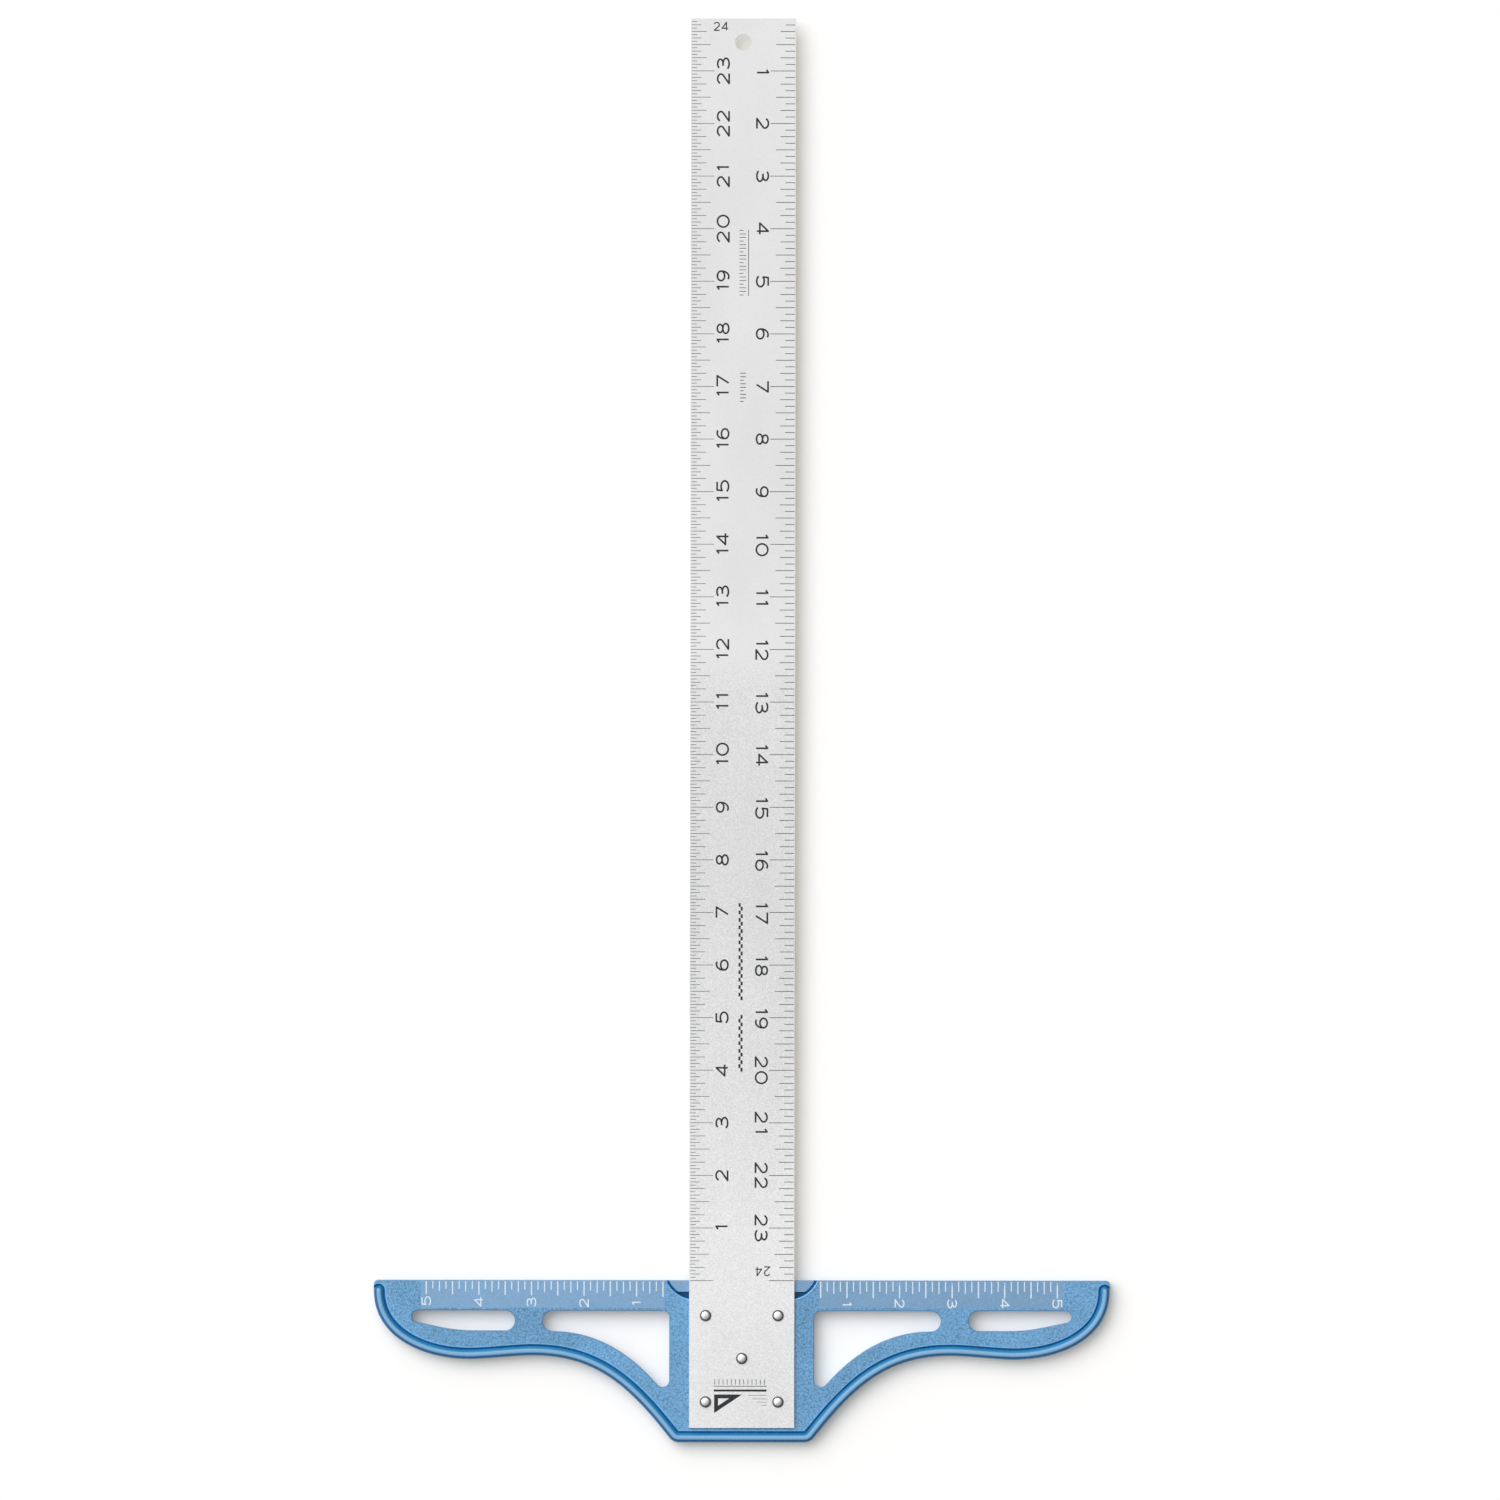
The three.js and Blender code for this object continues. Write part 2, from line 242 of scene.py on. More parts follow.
def offset(points, distance, closed=True):
    """The run moved to the right of its direction of travel, with mitred joints."""
    count = len(points)
    moved = []
    for i, (x, y) in enumerate(points):
        before = Vector(points[i - 1] if closed or i else points[i])
        after = Vector(points[(i + 1) % count] if closed or i < count - 1 else points[i])
        here = Vector((x, y))
        arriving = (here - before).normalized()
        leaving = (after - here).normalized()
        along = (arriving + leaving).normalized()
        segment = leaving if leaving.length else arriving
        mitre = distance / along.dot(segment)
        moved.append((x + along.y * mitre, y - along.x * mitre))
    return moved


def is_clockwise(points):
    rolled = points[1:] + points[:1]
    return sum(x0 * y1 - x1 * y0 for (x0, y0), (x1, y1) in zip(points, rolled)) < 0


def triangulated(outline, holes=()):
    """(points, triangles) that fill an outline less its holes, turned anticlockwise."""
    points = []
    edges = []
    for ring in (outline, *holes):
        start = len(points)
        points.extend(ring)
        edges.extend((start + i, start + (i + 1) % len(ring)) for i in range(len(ring)))
    spots = [Vector(p) for p in points]
    found = delaunay_2d_cdt(spots, edges, [], 2, SAME_POINT / 10, False)
    corners = [tuple(v) for v in found[0]]
    inside = [face for face in found[2] if fills(corners, face, outline, holes)]
    return corners, inside


def fills(corners, face, outline, holes):
    middle = [sum(corners[i][k] for i in face) / len(face) for k in (0, 1)]
    return holds(outline, middle) and not any(holds(hole, middle) for hole in holes)


def holds(ring, point):
    """Whether a ring of points goes round a point."""
    x, y = point
    inside = False
    for (x0, y0), (x1, y1) in zip(ring, ring[1:] + ring[:1]):
        if (y0 > y) != (y1 > y) and x < (x1 - x0) * (y - y0) / (y1 - y0) + x0:
            inside = not inside
    return inside


# ---- Meshes and pieces ----


def linked(name, data):
    made = bpy.data.objects.new(name, data)
    bpy.context.scene.collection.objects.link(made)
    return made


def mesh_object(name, corners, faces):
    """A mesh object from corners in millimetres, with doubled corners welded."""
    mesh = bpy.data.meshes.new(name)
    mesh.from_pydata([Vector(c) * MM for c in corners], [], faces)
    work = bmesh.new()
    work.from_mesh(mesh)
    bmesh.ops.remove_doubles(work, verts=work.verts, dist=SAME_POINT * MM)
    bmesh.ops.dissolve_degenerate(work, edges=work.edges, dist=SAME_POINT * MM)
    bmesh.ops.recalc_face_normals(work, faces=work.faces)
    work.to_mesh(mesh)
    work.free()
    return linked(name, mesh)


def wall_faces(start, count, levels):
    """Quads between rings of count corners, one ring to a level; start is the first corner."""
    faces = []
    for level in range(levels - 1):
        low = start + level * count
        for i in range(count):
            j = (i + 1) % count
            faces.append((low + i, low + j, low + count + j, low + count + i))
    return faces


def prism(name, outline, holes, levels):
    """A slab with levels of (inset, height); the inset narrows its outline and widens its holes."""
    stacks = []
    for ring in (outline, *holes):
        clockwise = ring if is_clockwise(ring) else ring[::-1]
        sign = 1 if ring is outline else -1
        stacks.append([(offset(clockwise, sign * inset), z) for inset, z in levels])
    corners = []
    faces = []
    for stack in stacks:
        faces.extend(wall_faces(len(corners), len(stack[0][0]), len(stack)))
        for ring, z in stack:
            corners.extend((x, y, z) for x, y in ring)
    for end in (0, -1):
        loops = [stack[end][0] for stack in stacks]
        flat, triangles = triangulated(loops[0], loops[1:])
        start = len(corners)
        corners.extend((x, y, levels[end][1]) for x, y in flat)
        faces.extend(tuple(start + i for i in triangle) for triangle in triangles)
    return mesh_object(name, corners, faces)


def ridge(name, route, profile):
    """A closed bar with round ends along a route. profile is (distance from the route, height)."""
    rings = []
    for reach, z in profile:
        right = offset(route, reach, closed=False)
        left = offset(route, -reach, closed=False)
        ends = []
        for tip, towards in ((-1, right[-1]), (0, left[0])):
            start = atan2(towards[1] - route[tip][1], towards[0] - route[tip][0])
            ends.append(arc(route[tip], max(reach, 0.0), start, start + pi))
        rings.append(([*right, *ends[0], *left[::-1], *ends[1]], z))
    corners = [(x, y, z) for ring, z in rings for x, y in ring]
    return mesh_object(name, corners, wall_faces(0, len(rings[0][0]), len(rings)))


def lathe(name, profile, place):
    """A turned body: profile is (radius, height), from axis to axis or closed on itself."""
    turns = [2 * pi * i / LATHE_SIDES for i in range(LATHE_SIDES)]
    corners = [(place[0] + r * cos(a), place[1] + r * sin(a), z) for r, z in profile for a in turns]
    return mesh_object(name, corners, wall_faces(0, LATHE_SIDES, len(profile)))


def box(name, low, high):
    return prism(name, rectangle(low, high), [], [(0, low[2]), (0, high[2])])


def combined(piece, tool, operation):
    """piece cut by, joined to or kept inside tool, which is used up."""
    step = piece.modifiers.new(operation, "BOOLEAN")
    step.operation = operation
    step.solver = "MANIFOLD"
    step.object = tool
    graph = bpy.context.evaluated_depsgraph_get()
    result = bpy.data.meshes.new_from_object(piece.evaluated_get(graph))
    piece.modifiers.clear()
    old = piece.data
    piece.data = result
    bpy.data.meshes.remove(old)
    bpy.data.objects.remove(tool)
    return piece


def cut(piece, *tools):
    for tool in tools:
        piece = combined(piece, tool, "DIFFERENCE")
    return piece


def smoothed(piece):
    piece.data.shade_smooth()
    piece.data.set_sharp_from_angle(angle=SHARP_ANGLE)
    weighted = piece.modifiers.new("weighted", "WEIGHTED_NORMAL")
    weighted.keep_sharp = True
    return piece


def finished(piece, material, slot, *nodes):
    """Gives a piece its material and body, and hides the CAD nodes it stands for; slot is not used."""
    if material is not None:
        piece.data.materials.clear()
        piece.data.materials.append(material)
    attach(piece, "root")
    if nodes:
        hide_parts(*nodes)
    return piece


# ---- Materials ----

# Nearly all of a noise lies between these two numbers.
NOISE_LOW = 0.3
NOISE_HIGH = 0.7


class Nodes:
    """A short way to write a node tree: one shader and what feeds it."""

    def __init__(self, owner, shader="Principled BSDF", coordinates="Object", **settings):
        owner.use_nodes = True
        self.owner = owner
        self.tree = owner.node_tree
        self.shader = self.tree.nodes[shader]
        self.place = self.add("ShaderNodeTexCoord", {}).outputs[coordinates]
        for socket, value in settings.items():
            self.put(value, self.shader.inputs[socket.replace("_", " ")])

    def add(self, kind, inputs, **settings):
        """A new node; inputs says what goes into its sockets."""
        node = self.tree.nodes.new(kind)
        for key, value in settings.items():
            setattr(node, key, value)
        for socket, value in inputs.items():
            self.put(value, node.inputs[socket])
        return node

    def link(self, source, target):
        self.tree.links.new(source, target)

    def dressed(self, colour, roughness, normal):
        for name, source in (("Base Color", colour), ("Roughness", roughness), ("Normal", normal)):
            self.link(source, self.shader.inputs[name])
        return self.owner

    def stretched(self, x, y, z):
        """The object's coordinates, scaled along each axis."""
        inputs = {"Vector": self.place, "Scale": (x, y, z)}
        return self.add("ShaderNodeMapping", inputs).outputs["Vector"]

    def along(self, axis):
        """The object's own X, Y or Z in metres."""
        return self.add("ShaderNodeSeparateXYZ", {"Vector": self.place}).outputs[axis]

    def noise(self, cell, detail=2.0, roughness=0.5, where=None):
        """Noise with features about a cell across, in millimetres."""
        inputs = {"Vector": where or self.place, "Scale": 1 / (cell * MM),
                  "Detail": detail, "Roughness": roughness}
        return self.add("ShaderNodeTexNoise", inputs).outputs["Fac"]

    def cells(self, cell, feature="SMOOTH_F1"):
        inputs = {"Vector": self.place, "Scale": 1 / (cell * MM)}
        return self.add("ShaderNodeTexVoronoi", inputs, feature=feature).outputs["Distance"]

    def ramp(self, source, low, high, start, end, **settings):
        """source between low and high, turned into a number between start and end."""
        inputs = {"Value": source, "From Min": low, "From Max": high, "To Min": start, "To Max": end}
        return self.add("ShaderNodeMapRange", inputs, **settings).outputs["Result"]

    def spread(self, noise, start, end):
        return self.ramp(noise, NOISE_LOW, NOISE_HIGH, start, end)

    def put(self, value, target):
        """Sets a socket to a number, a vector or a colour, or links another socket to it."""
        if isinstance(value, bpy.types.NodeSocket):
            self.link(value, target)
        else:
            target.default_value = (*value, 1.0) if target.type == "RGBA" else value

    def maths(self, operation, first, second):
        return self.add("ShaderNodeMath", {0: first, 1: second}, operation=operation).outputs["Value"]

    def mixed(self, share, first, second):
        """A colour between first and second; share is a socket."""
        node = self.add("ShaderNodeMix", {"Factor": share}, data_type="RGBA")
        colours = [socket for socket in node.inputs if socket.type == "RGBA"]
        for socket, colour in zip(colours, (first, second)):
            self.put(colour, socket)
        return next(socket for socket in node.outputs if socket.type == "RGBA")

    def bump(self, height, depth):
        """Relief of a depth in millimetres where height goes from 0 to 1."""
        inputs = {"Height": height, "Distance": depth * MM, "Strength": 1.0}
        return self.add("ShaderNodeBump", inputs).outputs["Normal"]


BLUE = (0.125, 0.325, 0.560)
BLUE_LIGHT = (0.178, 0.333, 0.530)
BLUE_SHADE = (0.002, 0.110, 0.300)
BLUE_CREST_HIGHLIGHT = (0.220, 0.430, 0.660)
# The bead's outer half is painted darker, as painted shade, and its inner half lighter, as painted light.
BLUE_BEAD_OUTER_SHADED = (0.012, 0.125, 0.310)
BLUE_BEAD_INNER_LIT = (0.021, 0.205, 0.430)
# Painted light: the left band is coloured lighter than the right one, over this far each way from the
# blade.
PAINTED_BAND_LIGHT_REACH = 90.0
# The bead's top carries a painted highlight, from the first of these depths below its crest, and fully at
# the second.
CREST_HIGHLIGHT_DEPTHS = (0.32, 0.05)
# The blade's speckle, and a painted dimming of its reflection, are strong up to one distance from the head,
# and weak this much further on.
SPECKLE_AND_DIMMING_TO = 285.0
SPECKLE_AND_DIMMING_FADE = 20.0
# Over that stretch the reflection is painted dimmer, and painted brighter again towards the working edge:
# painted shade and painted reflection.
PAINTED_DIMMING = 0.25
PAINTED_BRIGHTENING = 0.28
PAINTED_BRIGHTENING_TO = 190.0
# Two tones of each material: light and dark metal, fresh and worn ink.
BLADE_TONES = ((0.9, 0.9, 0.9), (0.655, 0.655, 0.66))
RIVET_TONES = ((0.84, 0.84, 0.85), (0.68, 0.68, 0.70))
RIM_SHADE_TONES = ((0.16, 0.16, 0.17), (0.07, 0.07, 0.08))
ZINC_TONES = ((0.66, 0.67, 0.70), (0.52, 0.53, 0.55))
BLACK_TONES = ((0.016, 0.018, 0.022), (0.075, 0.077, 0.082))
WHITE_TONES = ((0.70, 0.80, 0.88), (0.45, 0.58, 0.72))


def new_material(name, **settings):
    return Nodes(bpy.data.materials.new(name), **settings)


def scaled(colour, factor):
    return tuple(channel * factor for channel in colour)


def grained_plastic():
    """The head's top: leather grain moulded in, coloured lighter on the high spots."""
    made = new_material("blue_plastic_grained", Roughness=0.5)
    grain = made.cells(0.85)
    fine = made.noise(0.5, detail=1.0)
    relief = made.maths("ADD", made.maths("MULTIPLY", grain, 0.8), made.maths("MULTIPLY", fine, 0.5))
    patches = made.noise(22.0, detail=3.0)
    tone = made.maths("ADD", made.ramp(relief, 0.3, 0.8, 0.0, 0.8), made.spread(patches, 0.0, 0.2))
    colour = made.mixed(tone, scaled(BLUE, 1.5), scaled(BLUE, 0.57))
    return made.dressed(colour, made.ramp(relief, 0.2, 0.8, 0.42, 0.56), made.bump(relief, 0.16))


def band_plastic():
    """The smooth bands under the scales and the pocket's ledge: lighter, with a fine sparkle."""
    made = new_material("blue_plastic_band", Roughness=0.42)
    fine = made.noise(0.6, detail=1.0)
    patches = made.noise(16.0, detail=3.0)
    tone = made.maths("ADD", made.spread(fine, 0.0, 0.75), made.spread(patches, 0.0, 0.25))
    # The left band is painted lighter than the right one: painted light.
    painted_band_light = made.ramp(made.along("X"), -PAINTED_BAND_LIGHT_REACH * MM, PAINTED_BAND_LIGHT_REACH * MM, -0.25, 0.15)
    tone = made.maths("ADD", tone, painted_band_light)
    colour = made.mixed(tone, scaled(BLUE_LIGHT, 1.18), scaled(BLUE_LIGHT, 0.84))
    return made.dressed(colour, made.spread(fine, 0.36, 0.48), made.bump(fine, 0.03))


def glossy_plastic(name, colour, shine=0.8, crest=None):
    """Smooth plastic with faint handling marks; crest is the colour of the painted highlight on the bead's
    top.
    """
    settings = {"Roughness": 0.25, "Specular_IOR_Level": shine, "Coat_Weight": shine, "Coat_Roughness": 0.2}
    made = new_material("blue_plastic_" + name, **settings)
    marks = made.noise(1.6, detail=4.0, where=made.stretched(1.0, 1.0, 0.3))
    patches = made.noise(14.0, detail=2.0)
    tone = made.mixed(made.spread(patches, 0.0, 1.0), scaled(colour, 1.08), scaled(colour, 0.92))
    if crest is not None:
        low, high = (CHANNEL_FLOOR + BEAD_RADIUS - depth for depth in CREST_HIGHLIGHT_DEPTHS)
        # The bead's top is painted lighter: a painted highlight.
        painted_highlight = made.ramp(made.along("Z"), low * MM, high * MM, 0.0, 0.95)
        tone = made.mixed(painted_highlight, tone, crest)
    return made.dressed(tone, made.ramp(marks, 0.35, 0.7, 0.18, 0.32), made.bump(marks, 0.008))


def blade_metal():
    """Bead-blasted aluminium: slow clouds, a fine speckle that is stronger near the head, and a painted
    reflection, dimmer near the head and brighter again towards the working edge.
    """
    made = new_material("aluminium_satin", Metallic=0.2, Roughness=0.74)
    speckle = made.noise(0.5, detail=1.0)
    clouds = made.noise(55.0, detail=3.0, where=made.stretched(1.0, 0.4, 1.0))
    along = made.along("Y")
    speckle_and_dimming_share = made.ramp(along, SPECKLE_AND_DIMMING_TO * MM, (SPECKLE_AND_DIMMING_TO + SPECKLE_AND_DIMMING_FADE) * MM, 1.0, 0.25)
    tone = made.maths("MULTIPLY", made.spread(speckle, -0.38, 0.38), speckle_and_dimming_share)
    tone = made.maths("ADD", tone, made.spread(clouds, 0.35, 0.65))
    # Painted shade: the reflection is painted dimmer near the head.
    tone = made.maths("ADD", tone, made.maths("MULTIPLY", speckle_and_dimming_share, PAINTED_DIMMING))
    # Painted reflection: brighter again towards the working edge.
    tone = made.maths("SUBTRACT", tone, made.ramp(along, PAINTED_BRIGHTENING_TO * MM, 0.0, 0.0, PAINTED_BRIGHTENING))
    colour = made.mixed(tone, *BLADE_TONES)
    return made.dressed(colour, made.spread(clouds, 0.71, 0.77), made.bump(speckle, 0.01))


def rivet_metal():
    """Bright rivet heads, finely mottled, with a few shallow dents."""
    made = new_material("rivet_bright", Metallic=1.0, Roughness=0.3)
    dents = made.noise(1.1, detail=3.0)
    fine = made.noise(0.2, detail=2.0)
    colour = made.mixed(made.ramp(dents, 0.35, 0.7, 0.0, 1.0), *RIVET_TONES)
    return made.dressed(colour, made.spread(fine, 0.24, 0.36), made.bump(dents, 0.02))


def rivet_grime():
    """The dark ring round each rivet head: painted shade and a painted dark reflection on the dome's steep
    rim.
    """
    made = new_material("rivet_grime", Metallic=0.6, Roughness=0.5)
    spots = made.noise(0.6, detail=2.0)
    colour = made.mixed(made.spread(spots, 0.0, 1.0), *RIM_SHADE_TONES)
    return made.dressed(colour, made.spread(spots, 0.42, 0.58), made.bump(spots, 0.01))


def washer_metal():
    """Zinc-plated washers, spangled and slightly dull."""
    made = new_material("washer_zinc", Metallic=1.0, Roughness=0.4)
    spangle = made.cells(1.3, feature="F1")
    fine = made.noise(0.3, detail=2.0)
    colour = made.mixed(made.ramp(spangle, 0.0, 0.8, 0.0, 1.0), *ZINC_TONES)
    return made.dressed(colour, made.spread(fine, 0.34, 0.5), made.bump(fine, 0.01))


def ink(name, tones, roughness):
    """Printed ink: even, with small specks where it is thin."""
    made = new_material(name, Roughness=roughness, Specular_IOR_Level=0.25)
    specks = made.noise(0.45, detail=3.0, roughness=0.65)
    colour = made.mixed(made.ramp(specks, 0.52, 0.72, 0.0, 1.0), *tones)
    rough = made.spread(specks, roughness - 0.06, roughness + 0.1)
    return made.dressed(colour, rough, made.bump(specks, 0.004))


# ---- Head ----


def lower_edge():
    """The head's lower edge, from its right end round the bottom to its left end."""
    corner_across = FLARE_FOOT[0] - (HEAD_DEPTH + FLARE_FOOT[1]) / tan(FLARE_ANGLE)
    arc_across = corner_across - BOTTOM_CORNER_RADIUS * tan(FLARE_ANGLE / 2)
    arc_centre = (arc_across, BOTTOM_CORNER_RADIUS - HEAD_DEPTH)
    start = (HALF_HEAD, -END_CURVE_START)
    end = cubic(start, pulled(start, END_PULL_DOWN, -pi / 2), pulled(LOBE, END_PULL_ACROSS, 0.0), LOBE)
    waist = cubic(LOBE, pulled(LOBE, -WAIST_PULL, 0.0), pulled(WAIST, WAIST_PULL, 0.0), WAIST)
    foot_pull = pulled(FLARE_FOOT, FLARE_PULL, FLARE_ANGLE)
    flare = cubic(WAIST, pulled(WAIST, -FLARE_PULL, 0.0), foot_pull, FLARE_FOOT)
    corner = arc(arc_centre, BOTTOM_CORNER_RADIUS, FLARE_ANGLE - pi / 2, -pi / 2)
    right = joined(end, waist, flare, corner)
    return joined(right, mirrored(right))


def head_outline(edge):
    centre = (HALF_HEAD - TOP_CORNER_RADIUS, -TOP_CORNER_RADIUS)
    corner = arc(centre, TOP_CORNER_RADIUS, pi / 2, 0)
    return joined(corner, edge, mirrored(corner))


def inner_window():
    end_centre = (WINDOW_OUTER_END - WINDOW_END_RADIUS, -WINDOW_TOP - WINDOW_END_RADIUS)
    toe_centre = (WINDOW_INNER_SIDE + WINDOW_TOE_RADIUS, WINDOW_TOE[1] + WINDOW_TOE_RISE)
    corner_centre = (WINDOW_INNER_SIDE + WINDOW_CORNER_RADIUS, -WINDOW_TOP - WINDOW_CORNER_RADIUS)
    end = arc(end_centre, WINDOW_END_RADIUS, pi / 2, -pi / 2)
    start = (end_centre[0], end_centre[1] - WINDOW_END_RADIUS)
    toe_pull = pulled(WINDOW_TOE, WINDOW_PULL, WINDOW_TOE_ANGLE)
    lower = cubic(start, pulled(start, -WINDOW_PULL, 0.0), toe_pull, WINDOW_TOE)
    toe = arc(toe_centre, WINDOW_TOE_RADIUS, WINDOW_TOE_ANGLE - pi / 2, -pi)
    corner = arc(corner_centre, WINDOW_CORNER_RADIUS, pi, pi / 2)
    return joined(end, lower, toe, corner)


def outer_window():
    nose_centre = (SLOT_NOSE - SLOT_NOSE_RADIUS, -SLOT_TOP - SLOT_NOSE_RADIUS)
    inner_radius = (SLOT_BOTTOM - SLOT_TOP) / 2
    inner_centre = (SLOT_INNER_END + inner_radius, -SLOT_TOP - inner_radius)
    bend_reach = SLOT_BEND_RADIUS * tan(SLOT_TAPER / 2)
    bend_centre = (SLOT_BEND - bend_reach, -SLOT_BOTTOM + SLOT_BEND_RADIUS)
    nose = arc(nose_centre, SLOT_NOSE_RADIUS, pi / 2, SLOT_TAPER - pi / 2)
    bend = arc(bend_centre, SLOT_BEND_RADIUS, SLOT_TAPER - pi / 2, -pi / 2, SLOT_BEND_STEP)
    inner = arc(inner_centre, inner_radius, -pi / 2, -3 * pi / 2)
    return joined(nose, bend, inner)


def rounded_levels(low, high, foot, lip, steps=3):
    """Levels for prism(): upright walls with a round edge at the foot and at the lip."""
    angles = [pi / 2 * i / steps for i in range(steps + 1)]
    lower = [(foot * (1 - sin(a)), low + foot * (1 - cos(a))) for a in angles]
    upper = [(lip * (1 - cos(a)), high - lip * (1 - sin(a))) for a in angles]
    return lower + upper


def pocket_plan(radius=POCKET_FLOOR_RADIUS, turn=pi / 2):
    """The pocket at its floor, or a shape inside it, carried on past the working edge."""
    beyond = 2 * POCKET_FLOOR_RADIUS
    half = POCKET_HALF_STRAIGHT + radius
    left = arc((-POCKET_HALF_STRAIGHT, POCKET_ARC_RISE), radius, pi, pi + turn)
    return joined([(half, beyond), (-half, beyond)], left, mirrored(left))


def rivet_place(name):
    low, high = node_box("rivet_" + name)
    return tuple((low + high).xy / 2)


def head_hollow(edge, windows):
    """What is missing under the roof: all of it but the walls, bosses and ribs."""
    inside = offset(edge, SKIRT, closed=False)
    right = (HALF_HEAD - SKIRT, -SKIRT)
    outline = [right, *inside, (-right[0], right[1])]
    levels = [(0.0, -CLEAR), (0.0, ROOF_UNDERSIDE - ROOF_CORNER), (ROOF_CORNER, ROOF_UNDERSIDE)]
    hollow = prism("hollow", outline, [], levels)
    rings = [offset(window, -WINDOW_WALL) for window in windows]
    walls = [prism("wall", ring, [], [(0.0, -2 * CLEAR), (0.0, HEAD_TOP)]) for ring in rings]
    bosses = [boss(name) for name in RIVETS]
    ribs = [rib(side, number) for number in range(RIBS_PER_SIDE) for side in (-1, 1)]
    return cut(hollow, *walls, trough_body(), *bosses, *ribs)


def rib(side, number):
    x = side * (FIRST_RIB + number * RIB_SPACING)
    low = (x - RIB_THICKNESS / 2, -WINDOW_TOP, RIB_FOOT)
    return box("rib", low, (x + RIB_THICKNESS / 2, 0.0, HEAD_TOP))


def boss(name):
    """The post under the roof that a rivet goes through."""
    profile = [(0.0, BOSS_FOOT), (BOSS_RADIUS - BOSS_EDGE, BOSS_FOOT), (BOSS_RADIUS, BOSS_FOOT + BOSS_EDGE),
               (BOSS_RADIUS, HEAD_TOP), (0.0, HEAD_TOP)]
    return lathe("boss", profile, rivet_place(name))


def channel(route):
    """The groove that holds the bead, with a rounded lip where it meets the grained top."""
    wide = CHANNEL_HALF_WIDTH
    profile = [(0.0, CHANNEL_FLOOR), (wide - 0.4, CHANNEL_FLOOR), (wide - 0.1, CHANNEL_FLOOR + 0.12),
               (wide, CHANNEL_FLOOR + 0.4), (wide, HEAD_TOP - 0.55), (wide + 0.08, HEAD_TOP - 0.3),
               (wide + 0.28, HEAD_TOP - 0.08), (wide + 0.6, HEAD_TOP + 0.01),
               (wide + 0.6, HEAD_TOP + CLEAR), (0.0, HEAD_TOP + CLEAR)]
    return ridge("channel", route, profile)


def bead(route):
    """The half-round bead, with a foot that goes down into the channel's floor."""
    foot = CHANNEL_FLOOR - BEAD_FOOT_DEPTH
    crown = arc((0.0, CHANNEL_FLOOR), BEAD_RADIUS, 0.0, pi / 2, BEAD_ARC_STEP)
    return ridge("bead", route, [(0.0, foot), (BEAD_RADIUS, foot), *crown])


def pocket():
    """The recess at the blade's root, with a leaning wall, a soft lip and its ledge left in."""
    levels = [(0.0, CHANNEL_FLOOR), (-0.15, CHANNEL_FLOOR + 0.06), (-0.3, CHANNEL_FLOOR + 0.3),
              (-POCKET_FLARE, HEAD_TOP - 0.4), (-POCKET_FLARE - 0.12, HEAD_TOP - 0.15),
              (-POCKET_FLARE - 0.45, HEAD_TOP + 0.02), (-POCKET_FLARE - 0.45, HEAD_TOP + 2 * CLEAR)]
    return cut(prism("pocket", pocket_plan(), [], levels), ledge())


def ledge():
    """The flat ledge that stands in the pocket along the working edge, with a rounded lip."""
    radius = POCKET_FLOOR_RADIUS - GROOVE_WIDTH
    turn = asin((POCKET_ARC_RISE + LEDGE_WIDTH) / radius)
    levels = [(0.0, ROOF_UNDERSIDE), (0.0, LEDGE_TOP - LEDGE_LIP),
              (0.1, LEDGE_TOP - 0.1), (LEDGE_LIP, LEDGE_TOP)]
    return prism("ledge", pocket_plan(radius, turn), [], levels)


def trough():
    """The deep part of the pocket behind the ledge."""
    levels = [(TROUGH_ROUND, TROUGH_FLOOR), (0.0, TROUGH_FLOOR + TROUGH_ROUND), (0.0, CHANNEL_FLOOR + 0.5)]
    deep = prism("trough", pocket_plan(), [], levels)
    behind = box("behind", (-POCKET_REACH, -HEAD_DEPTH, -CLEAR), (POCKET_REACH, -LEDGE_WIDTH, HEAD_TOP))
    return combined(deep, behind, "INTERSECT")


def trough_body():
    """What closes the trough off from the hollow under the roof."""
    back = POCKET_ARC_RISE - POCKET_FLOOR_RADIUS - TROUGH_WALL
    high = (POCKET_REACH, TROUGH_WALL - LEDGE_WIDTH, HEAD_TOP)
    return box("trough_body", (-POCKET_REACH, back, TROUGH_FOOT), high)


def scale_band(side):
    """What is cut away for the smooth band on one side of the blade."""
    left, right = sorted(side * x for x in BAND)
    return box("band", (left, -BAND_DEPTH, HEAD_TOP - BAND_SINK), (right, CLEAR, HEAD_TOP + CLEAR))


def rivet_hole(name):
    top = HEAD_TOP + CLEAR
    profile = [(0.0, -CLEAR), (RIVET_HOLE_RADIUS, -CLEAR), (RIVET_HOLE_RADIUS, top), (0.0, top)]
    return lathe("hole", profile, rivet_place(name))


def distance_to(route, x, y):
    """How far a point is from a route, and whether it is to the right of its travel."""
    best = (inf, False)
    for (ax, ay), (bx, by) in zip(route, route[1:]):
        dx, dy = bx - ax, by - ay
        share = ((x - ax) * dx + (y - ay) * dy) / (dx * dx + dy * dy)
        share = min(1.0, max(0.0, share))
        reach = hypot(x - ax - share * dx, y - ay - share * dy)
        if reach < best[0]:
            best = (reach, dx * (y - ay) - dy * (x - ax) < 0)
    return best


# How near to its level, the bead or the channel's floor the middle of a face must be.
LEVEL_SLACK = 0.02
BEAD_SLACK = 0.05
FLOOR_SLACK = 0.1
# A level face has a normal that points at least this much upwards.
LEVEL_NORMAL = 0.9
# The pocket's finish starts behind the working edge and goes a little past the bands' inner ends.
POCKET_FRONT = 0.5
POCKET_SIDE = 2.0
LIP_WIDTH = 0.7
EDGE_DEPTH = 0.6


